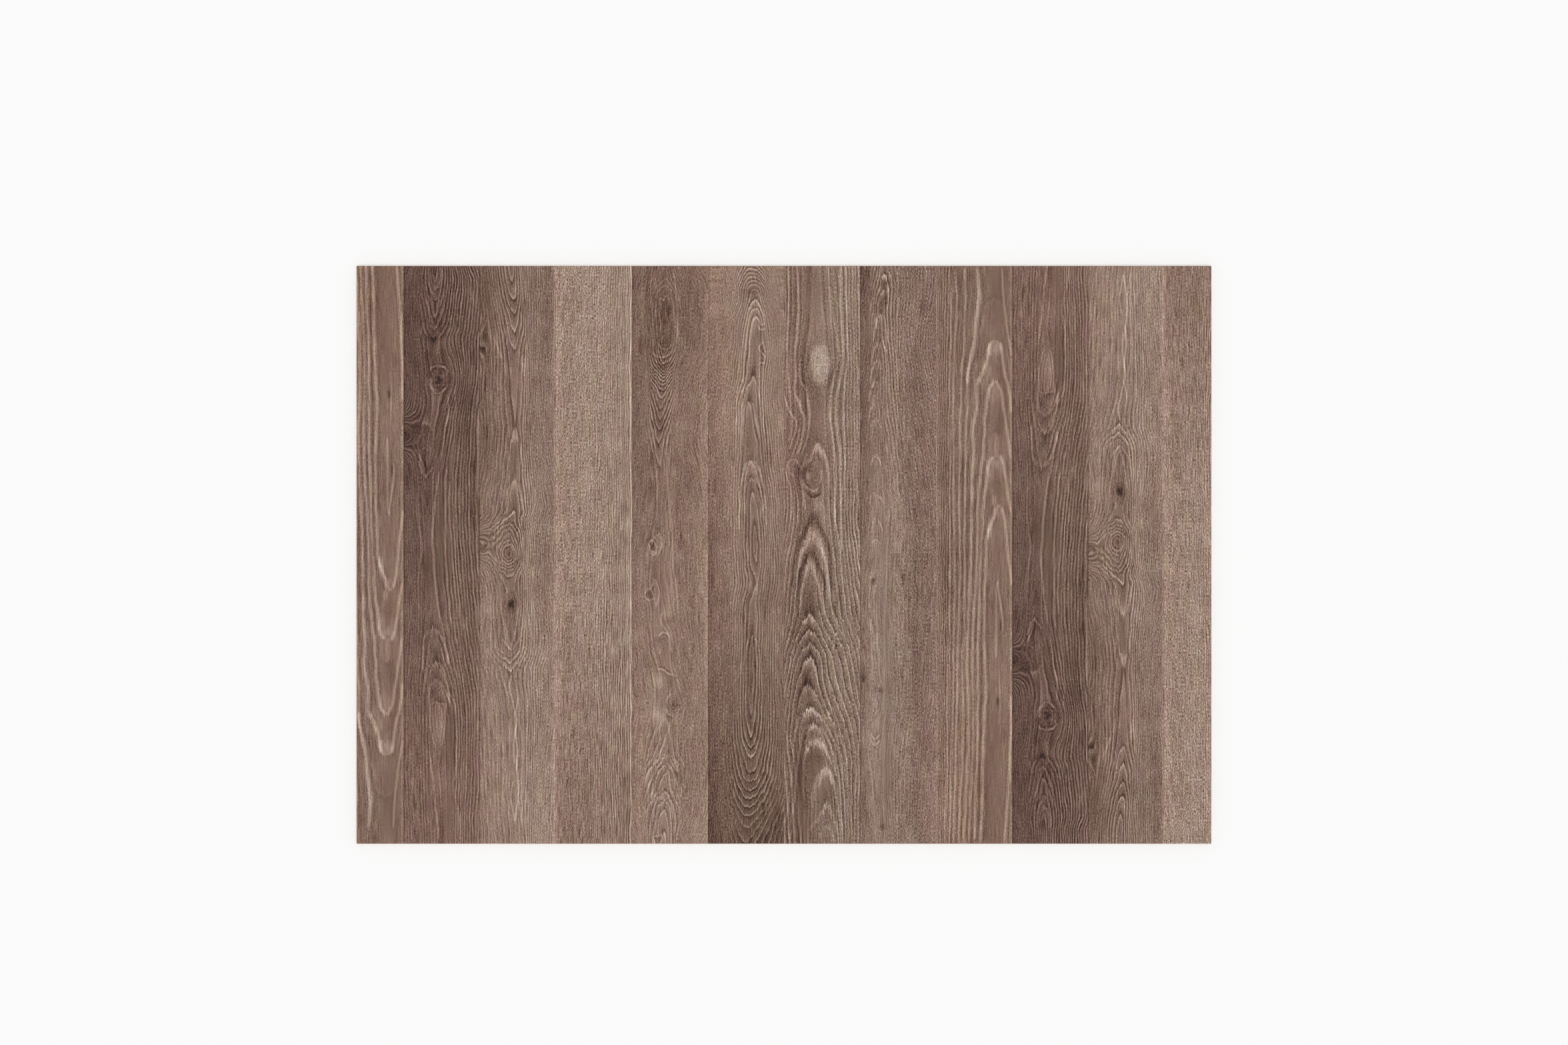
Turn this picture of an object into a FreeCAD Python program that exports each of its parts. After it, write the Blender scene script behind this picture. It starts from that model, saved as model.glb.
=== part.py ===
"""Wide-plank decor floor panel: one flat rectangular board, 2070 x 1400 x 18 mm.

The board is one piece of pressed wood-based stock, sawn square on all four
edges. Its upper face carries a printed decor of twelve wood strips that run
along +Y, side by side along X: ten whole strips and a part strip at each long
side. The strips are print, not timber, so nothing divides the solid.

Frame, in millimetres: +Z is the outward normal of the decor face, +Y runs along
the grain, +X across the strips. The origin is the middle of the underside.
"""

import FreeCAD, Part
import Sketcher
import os

doc = FreeCAD.newDocument("floor_panel")

# ---------------------------------------------------------------- dimensions
sheet = doc.addObject("Spreadsheet::Sheet", "Dimensions")
CELLS = [
    # alias, value in mm, what it is
    ("panel_width", 2070.0, "across the strips, the full width of the print"),
    ("panel_length", 1400.0, "along the grain, one repeat of the print"),
    ("panel_thickness", 18.0, "board thickness"),
    ("edge_ease", 0.3, "arris broken with a light sanding, all round both faces"),
]
for row, (alias, value, note) in enumerate(CELLS, start=1):
    sheet.set("A%d" % row, alias)
    sheet.set("B%d" % row, "%g" % value)
    sheet.set("C%d" % row, note)
    sheet.setAlias("B%d" % row, alias)
doc.recompute()


def origin_plane(body, role):
    """The body's own origin plane with that role."""
    for feature in body.Origin.OriginFeatures:
        if feature.Role == role:
            return feature
    raise RuntimeError("no %s in %s" % (role, body.Label))


# --------------------------------------------------------------- floor panel
panel = doc.addObject("PartDesign::Body", "FloorPanel")
panel.Label = "floor_panel"

outline = panel.newObject("Sketcher::SketchObject", "PanelOutline")
outline.AttachmentSupport = [(origin_plane(panel, "XY_Plane"), "")]
outline.MapMode = "FlatFace"
doc.recompute()

half_w, half_l = 1035.0, 700.0
corners = [
    FreeCAD.Vector(-half_w, -half_l, 0),
    FreeCAD.Vector(half_w, -half_l, 0),
    FreeCAD.Vector(half_w, half_l, 0),
    FreeCAD.Vector(-half_w, half_l, 0),
]
for i in range(4):
    outline.addGeometry(Part.LineSegment(corners[i], corners[(i + 1) % 4]), False)
for i in range(4):
    outline.addConstraint(Sketcher.Constraint("Coincident", i, 2, (i + 1) % 4, 1))
outline.addConstraint(Sketcher.Constraint("Horizontal", 0))
outline.addConstraint(Sketcher.Constraint("Horizontal", 2))
outline.addConstraint(Sketcher.Constraint("Vertical", 1))
outline.addConstraint(Sketcher.Constraint("Vertical", 3))
# the outline is centred on the origin
outline.addConstraint(Sketcher.Constraint("Symmetric", 0, 1, 1, 2, -1, 1))
width_row = outline.addConstraint(Sketcher.Constraint("DistanceX", 0, 1, 0, 2, 2070.0))
length_row = outline.addConstraint(Sketcher.Constraint("DistanceY", 1, 1, 1, 2, 1400.0))
outline.renameConstraint(width_row, "width")
outline.renameConstraint(length_row, "length")
outline.setExpression("Constraints.width", "Dimensions.panel_width")
outline.setExpression("Constraints.length", "Dimensions.panel_length")
doc.recompute()

board = panel.newObject("PartDesign::Pad", "Board")
board.Profile = outline
board.setExpression("Length", "Dimensions.panel_thickness")
doc.recompute()

# the eight arrises round the two faces, found by their height
thickness = float(board.Length)
arrises = []
for n, edge in enumerate(board.Shape.Edges, start=1):
    box = edge.BoundBox
    if box.ZLength < 1e-6 and (abs(box.ZMin) < 1e-6 or abs(box.ZMin - thickness) < 1e-6):
        arrises.append("Edge%d" % n)
if len(arrises) != 8:
    raise RuntimeError("expected 8 arrises, found %d" % len(arrises))
ease = panel.newObject("PartDesign::Chamfer", "EasedEdges")
ease.Base = (board, arrises)
ease.setExpression("Size", "Dimensions.edge_ease")
doc.recompute()

# -------------------------------------------------------------------- checks
for obj in doc.Objects:
    bad = [s for s in obj.State if s in ("Invalid", "Error")]
    if bad:
        raise RuntimeError("%s is %s" % (obj.Name, bad))

parts = {panel.Label: panel.Shape}
for name, shape in parts.items():
    if shape.isNull() or not shape.isValid() or len(shape.Solids) != 1:
        raise RuntimeError("%s is not one valid solid" % name)

os.makedirs("parts", exist_ok=True)
for name, shape in parts.items():
    shape.exportStep("parts/%s.step" % name)
    box = shape.BoundBox
    print(
        "%s: %.2f x %.2f x %.2f mm, %.1f cm3"
        % (name, box.XLength, box.YLength, box.ZLength, shape.Volume / 1000.0)
    )
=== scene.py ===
import bmesh
import bpy
import numpy as np
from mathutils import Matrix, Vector


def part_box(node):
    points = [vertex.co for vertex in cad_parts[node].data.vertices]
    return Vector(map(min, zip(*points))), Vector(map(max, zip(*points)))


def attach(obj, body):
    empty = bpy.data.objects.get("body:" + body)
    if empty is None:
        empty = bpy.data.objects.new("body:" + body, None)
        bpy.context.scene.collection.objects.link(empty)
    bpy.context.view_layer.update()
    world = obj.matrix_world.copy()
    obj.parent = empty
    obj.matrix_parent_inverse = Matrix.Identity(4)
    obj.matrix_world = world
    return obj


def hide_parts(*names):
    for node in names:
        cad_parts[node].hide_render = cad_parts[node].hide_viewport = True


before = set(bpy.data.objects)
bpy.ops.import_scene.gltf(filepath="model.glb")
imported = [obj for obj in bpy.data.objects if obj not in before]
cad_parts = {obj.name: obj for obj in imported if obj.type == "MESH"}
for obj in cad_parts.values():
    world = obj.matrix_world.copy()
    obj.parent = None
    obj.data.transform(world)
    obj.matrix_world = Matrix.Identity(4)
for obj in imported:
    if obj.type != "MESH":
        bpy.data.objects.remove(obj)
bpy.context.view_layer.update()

# ---------------------------------------------------------------- measures
# The figure of the decor is drawn in units of 1.6147 mm, with x to the right
# and y down, so that the twelve strips run from x 535 to x 1817 and the board
# from y 399 to y 1266.
UNIT = 0.0016147
MID_X, MID_Y = 1176.05, 832.5
STRIP = 114.13
JOINTS = [605.4 + STRIP * k for k in range(11)]
EDGES = [MID_X - 1.035 / UNIT] + JOINTS + [MID_X + 1.035 / UNIT]
TOP_Y, LOW_Y = 399.0, 1266.0
# under this light a surface of colour c shows as c * LIT + HAZE
LIT, HAZE = 1.09, 0.018
# the common brown of the print, dark to light, as 0 to 255 values
BROWN = [(30, 18, 13), (50, 33, 25), (70, 47, 39), (90, 66, 56), (110, 85, 74), (130, 104, 92), (150, 124, 111), (170, 144, 131), (195, 169, 156), (235, 212, 200)]


# ---------------------------------------------------------------- node kit
class Num:
    """A number in a node tree. Sums and products of it make Math nodes."""

    def __init__(self, tree, socket):
        self.tree, self.socket = tree, socket

    def __add__(self, other):
        return op("ADD", self, other)

    __radd__ = __add__

    def __sub__(self, other):
        return op("SUBTRACT", self, other)

    def __rsub__(self, other):
        return op("SUBTRACT", other, self)

    def __mul__(self, other):
        return op("MULTIPLY", self, other)

    __rmul__ = __mul__


def op(kind, *values, clamp=False):
    """One Math node. Each value is a Num or a plain number."""
    tree = next(v.tree for v in values if isinstance(v, Num))
    node = tree.nodes.new("ShaderNodeMath")
    node.operation = kind
    node.use_clamp = clamp
    for i, v in enumerate(values):
        if isinstance(v, Num):
            tree.links.new(v.socket, node.inputs[i])
        else:
            node.inputs[i].default_value = v
    return Num(tree, node.outputs[0])


def madd(a, b, c):
    return op("MULTIPLY_ADD", a, b, c)


def pair(x, y):
    """A vector of two numbers."""
    node = x.tree.nodes.new("ShaderNodeCombineXYZ")
    x.tree.links.new(x.socket, node.inputs[0])
    x.tree.links.new(y.socket, node.inputs[1])
    return node.outputs[0]


def noise(x, y, across, along, seed, detail=1.0, rough=0.5):
    """Smooth noise about 0, mostly within -0.5 and 0.5, whose grains are
    across by along units."""
    node = x.tree.nodes.new("ShaderNodeTexNoise")
    node.noise_dimensions = "2D"
    node.inputs["Scale"].default_value = 1.0
    node.inputs["Detail"].default_value = detail
    node.inputs["Roughness"].default_value = rough
    v = pair(madd(x, 1.0 / across, 7.31 * seed), madd(y, 1.0 / along, 3.17 * seed))
    x.tree.links.new(v, node.inputs["Vector"])
    return Num(x.tree, node.outputs[0]) - 0.5


def ring_hash(n, seed):
    """A value from 0 to 1 for each whole number n."""
    node = n.tree.nodes.new("ShaderNodeTexWhiteNoise")
    node.noise_dimensions = "1D"
    n.tree.links.new((n + 0.37 + 11.0 * seed).socket, node.inputs["W"])
    return Num(n.tree, node.outputs[0])


def smooth_through(points, xs):
    """Monotone cubic through the points (Fritsch and Carlson)."""
    px, py = (np.array(v, float) for v in zip(*points))
    h = np.diff(px)
    slope = np.diff(py) / h
    m = np.zeros(len(px))
    for i in range(1, len(px) - 1):
        if slope[i - 1] * slope[i] > 0:
            a, b = 2 * h[i] + h[i - 1], h[i] + 2 * h[i - 1]
            m[i] = (a + b) / (a / slope[i - 1] + b / slope[i])
    m[0], m[-1] = slope[0], slope[-1]
    xs = np.clip(xs, px[0], px[-1])
    i = np.clip(np.searchsorted(px, xs) - 1, 0, len(h) - 1)
    t = (xs - px[i]) / h[i]
    return (
        py[i] * (2 * t**3 - 3 * t**2 + 1)
        + h[i] * m[i] * (t**3 - 2 * t**2 + t)
        + py[i + 1] * (3 * t**2 - 2 * t**3)
        + h[i] * m[i + 1] * (t**3 - t**2)
    )


def curve(x, points, steps=64):
    """A Float Curve node that runs smoothly through the points."""
    lo, hi = points[0][0], points[-1][0]
    xs = np.linspace(lo, hi, steps + 1)
    ys = smooth_through(points, xs)
    low, high = float(ys.min()), float(ys.max())
    span = max(high - low, 1e-6)
    tree = x.tree
    node = tree.nodes.new("ShaderNodeFloatCurve")
    line = node.mapping.curves[0]
    line.points[0].location = (0.0, (ys[0] - low) / span)
    line.points[1].location = (1.0, (ys[-1] - low) / span)
    for t, v in zip(np.linspace(0, 1, steps + 1)[1:-1], ys[1:-1]):
        line.points.new(float(t), float((v - low) / span))
    for p in line.points:
        p.handle_type = "VECTOR"
    node.mapping.extend = "HORIZONTAL"
    node.mapping.update()
    where = madd(x, 1.0 / (hi - lo), -lo / (hi - lo))
    tree.links.new(where.socket, node.inputs["Value"])
    return madd(Num(tree, node.outputs[0]), span, low)


def blob(x, y, cx, cy, rx, ry):
    """1 at (cx, cy), fading over rx and ry like a bell."""
    a, b = madd(x, 1.0 / rx, -cx / rx), madd(y, 1.0 / ry, -cy / ry)
    return op("POWER", 0.36788, madd(a, a, b * b))


def bell(x, width):
    """1 where x is 0, fading over the width like a bell."""
    u = op("DIVIDE", x, width)
    return op("POWER", 0.36788, u * u)


def ramp(x, stops):
    """A Color Ramp node. Each stop is a place and a colour."""
    tree = x.tree
    node = tree.nodes.new("ShaderNodeValToRGB")
    els = node.color_ramp.elements
    while len(els) < len(stops):
        els.new(0.5)
    for el, (place, colour) in zip(els, stops):
        el.position = place
        el.color = (*colour, 1.0)
    tree.links.new(x.socket, node.inputs[0])
    return node.outputs[0]


def step(x, start, end):
    """A soft step from 0 at start to 1 at end."""
    node = x.tree.nodes.new("ShaderNodeMapRange")
    node.interpolation_type = "SMOOTHSTEP"
    node.inputs["From Min"].default_value = start
    node.inputs["From Max"].default_value = end
    x.tree.links.new(x.socket, node.inputs["Value"])
    return Num(x.tree, node.outputs[0])


def mix(a, b, share):
    """a where share is 0, b where it is 1."""
    return madd(b - a, share, a)


def linear(v):
    v /= 255.0
    return v / 12.92 if v <= 0.04045 else ((v + 0.055) / 1.055) ** 2.4


# ---------------------------------------------------------------- the figure
# Each design is one plank of the print, drawn from these marks:
# axis    where the figure's middle runs, as (y, x)
# phase   the growth ring met on the axis, as (y, ring): it falls down the
#         board where the arches point up, and rises where they point down
# side    the ring met beside the axis, as (distance, ring)
# sharp   2 for round arches, less for pointed ones, as (y, power)
# spread  how much narrower the arches are than side says, as (y, factor)
# loose   how ragged the arches are, as (y, factor)
# thick   how broad the lines of wide arches are
# push    places that push the rings aside: (x, y, half width, half height,
#         the x they are pushed from, how much)
# knots   (x, y, half width, half height, kind, turn)
# down, across   slow change of tone down and across the plank
# marks   soft spots of tone: (x, y, half width, half height, tone)
# tufts   spots with a ragged edge: (x, y, half width, half height, tone)
# arches  ragged bands over a middle line: (x, top y, half width, how far the
#         sides drop at it, thickness, tone)
# paths   single lines down the plank: (half width, tone, (y, x), ...)
# legs    the same, from an arch's ragged tip down
# vees    the same, down to a ragged tip
# sweeps  single lines across it: (half width, tone, (x, y), ...)
# bold_x, bold_y   how strong the rings are drawn, across and down the plank
# calm    places where the rings fade: (x, y, half width, half height, how much)
# fleck_x   how strong the short flecks are, across the plank
# fleck_y, fibre_y   how strong flecks and fibre are down the plank
# fine    how narrow both are
# smooth  places with less of both: (x, y, half width, half height, how much)
# edge    fine lines along the two joints: (x, half width, tone)
# hue     shift of green and of blue against the common brown
# tints   places with more green and blue: (x, y, half width, half height, green, blue)
# hue_x, hue_y   more of it across and down the plank, as (x, green, blue)
DESIGNS = {
    2: {
        "mid": 651,
        "grain": 1.03,
        "tone": 110,
        "hue": (0, 1),
        "axis": [
            (399, 652), (452, 652), (508, 648), (567, 659), (650, 646), (716, 638), (830, 644), (943, 650),
            (1020, 655), (1053, 658), (1126, 659), (1266, 661),
        ],
        "phase": [
            (399, 0.4), (410, 1), (424, 2), (437, 3), (452.5, 4), (477, 5), (495, 6), (507, 7), (560, 7.7),
            (690, 7.95), (716, 8.1), (830, 8.6), (930, 8.3), (943, 8), (992, 7), (1020, 6), (1053, 5), (1090, 4.3),
            (1190, 4.15), (1266, 4),
        ],
        "side": [
            (-47, 17.5), (-35, 13), (-25, 9), (-18, 6.2), (-10, 3.6), (0, 0), (10, 3.1), (20, 5.8), (28, 8.3),
            (35, 10.6), (42, 12.6), (55, 16.2), (67, 19.3),
        ],
        "spread": [
            (399, 1), (430, 0.85), (500, 0.85), (620, 1), (800, 1), (880, 0.95), (960, 0.84), (1040, 0.79),
            (1130, 0.78), (1266, 0.85),
        ],
        "loose": [(399, 0.7), (500, 0.9), (560, 0.3), (700, 0.7), (900, 1), (1266, 0.8)],
        "push": [(659.5, 567, 24, 34, 659.5, 0.85), (604, 651, 28, 32, 644, 0.9)],
        "knots": [(658.5, 568, 16, 22, "eye", 0.45), (621, 653, 9, 10, "swirl", 0.9)],
        "down": [(399, -8), (650, -9), (780, -3), (1000, 6), (1266, 14)],
        "across": [(605, -3), (632, -5), (650, 2), (683, 4), (705, 0), (719, 5)],
        "hue_x": [(605, 0, 0.6), (650, 0, 0), (719, 0.2, -0.3)],
        "hue_y": [
            (399, -0.7, 0.7), (760, 0.3, 0.8), (880, -0.3, -0.3), (1000, -1, -1), (1190, -2.3, -2.9),
            (1266, -2.3, -2.9),
        ],
        "bold_x": [(605, 0.35), (622, 0.35), (640, 0.75), (660, 0.95), (700, 1.05), (719, 0.85)],
        "bold_y": [(399, 1.15), (520, 1), (640, 0.85), (900, 0.9), (1266, 0.85)],
        "calm": [
            (622, 480, 12, 70, 0.5), (660, 530, 12, 14, 0.7), (676, 1105, 6, 60, 0.7), (646, 660, 12, 46, 0.7),
            (651, 952, 10, 14, 0.8), (655, 1024, 10, 12, 0.6), (675, 1215, 8, 46, 0.8), (652, 840, 6, 60, 0.7),
            (673, 810, 6, 80, 0.7), (655, 1110, 10, 60, 0.8), (654, 1200, 10, 50, 0.6), (614, 618, 14, 22, -3.6),
            (614, 676, 14, 18, -2.4), (661, 812, 6, 84, 0.9), (641, 850, 6, 60, 0.7),
        ],
        "fleck_x": [(605, 1), (719, 0.85)],
        "edge": [(606, 1.3, -24), (717.3, 0.9, 24), (718.8, 0.9, -22)],
        "sharp": [(399, 1.75), (510, 1.75), (560, 2), (900, 2), (950, 1.85), (1266, 2)],
        "smooth": [
            (676, 1105, 7, 60, 0.7), (674, 1220, 9, 46, 0.6), (651, 845, 6, 60, 0.6), (673, 810, 6, 80, 0.6),
            (645, 620, 7, 26, 0.5), (642, 690, 8, 20, 0.4), (662, 812, 5, 84, 0.85), (641, 850, 4, 50, 0.5),
        ],
        "fleck_y": [(399, 1), (1266, 1)],
        "fibre_y": [(399, 1), (1266, 1)],
        "fine": 0.9,
        "tints": [
            (660, 570, 14, 30, -0.6, 0.4), (690, 1150, 24, 90, 0.4, 0.3), (670, 450, 14, 50, -0.8, 0.4),
            (640, 440, 14, 50, -1, 0), (622, 690, 16, 50, -0.6, 1), (642, 700, 10, 50, -0.6, 0.2),
            (684, 860, 10, 160, 0.6, -0.4), (662, 810, 5, 84, 3.4, 1.6), (676, 1110, 6, 76, 3.2, 0.4),
            (641, 850, 6, 60, -1.6, 0.6), (655, 975, 6, 20, 2.4, 1.6), (620, 800, 8, 120, 1.2, 1.6),
        ],
        "marks": [
            (660, 566, 11, 14, -16), (664, 564, 2.6, 3.2, 44), (659, 571, 3, 3, -24), (626, 640, 16, 22, -8),
            (646, 790, 7, 34, 12), (639, 634, 6, 6, 16), (635, 664, 5, 5, 10), (638, 697, 5, 6, -18),
            (610, 490, 9, 45, -9), (658.5, 521, 9, 13, 14), (648, 508, 14, 5, -20), (652, 404, 5, 7, -20),
            (653, 464, 6, 7, -14), (653, 486, 9, 5, -12), (660, 1094, 6, 34, 12), (676, 1105, 7, 60, -8),
            (661, 1052, 7, 4, -12), (700, 640, 14, 60, -6), (640, 940, 10, 24, -8), (652, 975, 8, 9, -12),
            (655, 1040, 10, 7, -10), (650, 600, 5, 30, 6), (661, 585, 14, 46, -8), (620, 1150, 16, 110, 7),
            (683, 800, 10, 90, 3), (706, 1000, 12, 120, -3), (661, 470, 13, 80, -6), (662, 570, 12, 40, -4),
            (637, 655, 5, 8, 8), (646, 760, 6, 30, -4), (657, 1080, 7, 26, 8), (684, 450, 11, 50, -6),
            (661, 565, 11, 40, -3), (618, 700, 11, 46, -5), (662, 1040, 28, 46, -5), (661, 1170, 10, 50, 4),
            (641, 700, 11, 60, -3), (640, 1050, 10, 60, -4), (684, 1060, 11, 70, -5), (662, 900, 10, 80, -3),
            (619, 840, 10, 60, 3), (662, 545, 10, 40, -3), (706, 450, 9, 50, 3), (684, 1180, 10, 60, -2),
            (684, 440, 9, 50, -3), (706, 440, 8, 60, 3), (619, 650, 9, 60, -3), (641, 560, 9, 60, -3),
            (641, 846, 6, 54, -8), (662, 812, 5, 84, -5), (654, 770, 4, 30, 7), (657, 1088, 7, 34, 9),
        ],
        "tufts": [],
        "arches": [
            (661, 1038, 12, 14, 4, 12), (640, 632, 8, 14, 2.4, 16), (640, 639, 6, 12, 2.4, -12),
            (638, 712, 7, -14, 2.2, 14), (639, 735, 12, -26, 3, 8), (635, 782, 13, -46, 4, 9),
            (652, 945, 12, 18, 3, 10), (655, 1000, 13, 14, 4, 8),
        ],
        "paths": [
            (1.2, 20, (590, 672), (620, 673), (640, 668), (690, 663), (733, 655), (767, 650)),
            (1.1, 18, (580, 682), (620, 684), (650, 682), (700, 677), (760, 672)),
            (1.3, 20, (664, 617), (676, 624), (692, 632), (710, 637), (717, 638.6)),
            (1.2, 18, (640, 652), (660, 650), (680, 648), (700, 643), (717, 639.4)),
            (1, 16, (690, 627), (705, 630), (722, 636), (735, 638)),
            (1.1, 20, (1058, 667), (1068, 667), (1080, 668), (1100, 666), (1122, 662)),
            (1.1, 16, (1060, 663), (1080, 664.5), (1100, 662), (1118, 660)),
            (1.3, 18, (1056, 649), (1068, 648.5), (1080, 649.5), (1096, 652), (1118, 656)),
            (1.1, 14, (1062, 654), (1085, 656), (1110, 657)),
            (
                1.3, 20, (1036, 670), (1048, 678), (1060, 682.5), (1080, 684), (1110, 684.5), (1150, 684), (1174, 681)),
            (1.1, 14, (1060, 687), (1110, 688), (1170, 686)),
            (1.3, 20, (1130, 644.5), (1150, 646.5), (1170, 649), (1192, 651)),
            (1.2, 18, (1195, 650), (1215, 653), (1240, 656), (1264, 658)),
            (1.1, 16, (1146, 658), (1175, 659), (1190, 660), (1214, 661)),
            (1.2, 14, (1120, 658), (1136, 660), (1150, 657)),
            (1.3, 14, (1180, 681), (1200, 684), (1230, 690), (1264, 691)),
            (
                1.4, 22, (752, 653), (790, 649.5), (812, 648), (830, 650), (860, 652), (880, 653.5), (905, 656.5),
                (930, 661)),
            (1.3, 22, (700, 670), (740, 669.5), (790, 668), (840, 668), (870, 670), (900, 672.5), (935, 676)),
            (1.1, 16, (756, 624), (790, 628), (815, 632.5), (830, 633.5), (845, 630), (880, 628), (930, 628)),
            (1.2, 18, (720, 676), (770, 674), (830, 677), (880, 682), (930, 688)),
            (1.2, 16, (700, 684), (770, 682), (840, 683.5), (890, 688), (950, 695)),
            (1.2, 20, (1046, 646), (1060, 645), (1090, 646.5), (1110, 650), (1124, 655)),
        ],
        "legs": [
            (1.5, 25, (943, 650), (950, 641), (962, 636), (985, 635), (1010, 634)),
            (1.5, 25, (943, 651), (950, 658), (960, 664), (975, 669), (1000, 674)),
            (1.4, 22, (992, 653), (998, 646), (1008, 641), (1030, 639)),
            (1.4, 22, (992, 654), (998, 661), (1008, 666), (1030, 671), (1060, 674)),
            (1.3, 22, (1020, 655), (1026, 648), (1036, 645), (1060, 643)),
            (1.5, 25, (1020, 656), (1028, 663), (1040, 670), (1056, 675)),
        ],
        "vees": [
            (1.4, 22, (700, 650), (707, 645), (714, 640), (718, 638.5)),
            (1.4, 22, (690, 628), (704, 632), (714, 636.5), (718, 638.5)),
            (1.2, 18, (668, 646), (690, 644), (700, 640), (704, 638)),
            (1.2, 18, (680, 628), (692, 632), (700, 635), (704, 637)),
            (1.3, 18, (400, 664), (430, 661), (455, 657), (478, 653)),
            (1.3, 18, (420, 643), (445, 646), (465, 650), (478, 652)),
            (1.3, 18, (430, 668), (460, 664), (480, 658), (494, 653)),
            (1.3, 18, (440, 640), (465, 643), (482, 648), (494, 652)),
        ],
        "sweeps": [
            (1.4, 30, (642, 557), (650, 550), (661, 549), (672, 556), (675, 563)),
            (1.4, 26, (640, 571), (647, 583), (655, 590), (665, 586), (674, 576)),
            (1.2, 18, (631, 640), (637, 634), (645, 637)), (1.2, 18, (631, 676), (637, 672), (643, 677)),
            (1.2, 18, (645, 1057), (653, 1054.5), (661, 1055), (668, 1058)),
        ],
    },
    3: {
        "mid": 768,
        "grain": 1.3,
        "tone": 134.5,
        "hue": (1.1, 0.2),
        "axis": [
            (399, 768), (450, 771), (524, 773), (642, 773), (719, 772), (767, 772), (785, 765), (830, 763),
            (866, 764), (905, 766), (976, 765), (1007, 766), (1070, 772), (1234, 774), (1266, 775),
        ],
        "phase": [
            (399, 4.4), (422, 5), (450, 6), (470.6, 7), (497.4, 8), (524, 9), (560, 9.7), (600, 9.9), (642, 10),
            (655, 9.7), (719.5, 9), (767, 8), (785.5, 7), (792, 6), (800, 5), (809.5, 4), (816, 3), (829.6, 1),
            (843, 3), (847, 4), (852, 5), (857, 6), (866, 7), (885, 7.8), (950, 8.4), (976, 9), (986, 10), (995, 11),
            (1007, 12), (1050, 12.5), (1100, 12.6), (1266, 12.4),
        ],
        "side": [
            (-54, 16.5), (-43, 13), (-30, 9.2), (-20, 6.1), (-9, 2.8), (0, 0), (8, 3.5), (14, 6), (20, 8.8),
            (30, 13.2), (66, 27),
        ],
        "spread": [(399, 1), (640, 1), (760, 0.8), (780, 0.9), (880, 0.9), (960, 0.75), (1020, 0.75), (1266, 1)],
        "loose": [(399, 0.5), (600, 0.6), (760, 0.8), (800, 0.6), (870, 0.5), (960, 0.55), (1010, 0.6), (1266, 0.6)],
        "push": [(724, 512, 14, 24, 732, 0.8), (767, 907, 13, 22, 767, 0.7), (720, 816, 20, 30, 758, 0.75)],
        "knots": [(767.5, 905, 13, 20, "drop", 0.1)],
        "down": [(399, -11), (520, -8), (600, -5), (650, -4), (850, -1), (1050, 7), (1266, 12)],
        "across": [(719, -6), (745, -1), (765, -2), (795, 6), (820, 1), (833, 9)],
        "hue_x": [(719, -0.4, -0.6), (780, 0.2, 0.2), (810, 1, 0.4), (824, 0, 0.4), (833, -1.2, -0.6)],
        "hue_y": [
            (399, 0, 0), (520, -0.8, -0.2), (600, -1, -0.2), (700, 0.2, 0.4), (900, 0, -0.6), (1000, 0.2, 0.2),
            (1266, 0, -0.6),
        ],
        "bold_x": [(719, 0.48), (745, 0.64), (765, 1.1), (790, 1.1), (805, 0.765), (820, 0.468), (833, 0.51)],
        "bold_y": [
            (399, 1.1), (530, 1.1), (560, 1), (640, 0.75), (740, 0.8), (790, 1.1), (880, 0.9), (980, 1), (1040, 0.8),
            (1266, 0.8),
        ],
        "calm": [
            (774, 570, 6, 46, 0.8), (773, 690, 5, 34, 0.7), (764, 877, 9, 7, 0.8), (812, 900, 14, 90, 0.4),
            (725, 1000, 12, 120, 0.3), (773, 1140, 9, 110, 0.9), (767, 952, 9, 18, 0.9),
        ],
        "fleck_x": [(719, 0.8), (790, 0.8), (812, 1.2), (833, 1.2)],
        "edge": [(720, 0.8, -14), (831.5, 1, 20)],
        "sharp": [
            (399, 1.8), (530, 1.8), (600, 2), (640, 1.7), (760, 1.75), (800, 2), (880, 2), (950, 1.6), (1266, 1.8),
        ],
        "smooth": [
            (775, 600, 7, 70, 0.6), (770, 1130, 7, 90, 0.4), (764, 878, 10, 8, 0.6), (772, 690, 6, 40, 0.4),
            (763, 830, 7, 10, 0.5),
        ],
        "fleck_y": [(399, 1), (1266, 1)],
        "fibre_y": [(399, 1), (1266, 1)],
        "fine": 0.82,
        "tints": [
            (777, 1120, 8, 110, 1.2, 0), (777, 570, 16, 80, -1.2, -0.8), (755, 600, 10, 100, -0.8, -1),
            (733, 1150, 12, 100, -1.4, -1.6), (818, 920, 12, 60, -1.2, -2.4), (776, 1060, 10, 60, -0.2, 0.7),
            (755, 1180, 10, 60, -0.4, -1.6), (819, 930, 10, 100, -0.6, -0.8),
        ],
        "marks": [
            (724, 506, 5, 7, -30), (725, 521, 5, 7, -30), (730, 540, 6, 12, -8), (741, 512, 5, 9, 12),
            (769, 908, 4.5, 8, -36), (764, 899, 3, 4, 18), (773, 847, 6, 8, -14), (771, 655, 5, 12, 14),
            (773, 690, 5, 22, -6), (723, 655, 9, 50, -8), (740, 650, 12, 40, -8), (740, 1060, 16, 130, 4),
            (770, 1130, 5, 80, 8), (765, 1075, 6, 9, -16), (774, 570, 7, 42, -6), (763, 877, 9, 7, 8),
            (781, 838, 4, 6, -20), (762, 830, 6, 9, -6), (766, 990, 10, 5, -10), (778, 1140, 4, 60, -8),
            (766, 1180, 4, 60, -8), (732, 450, 12, 60, -9), (727, 870, 14, 90, 8), (776, 580, 10, 60, 6),
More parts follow.
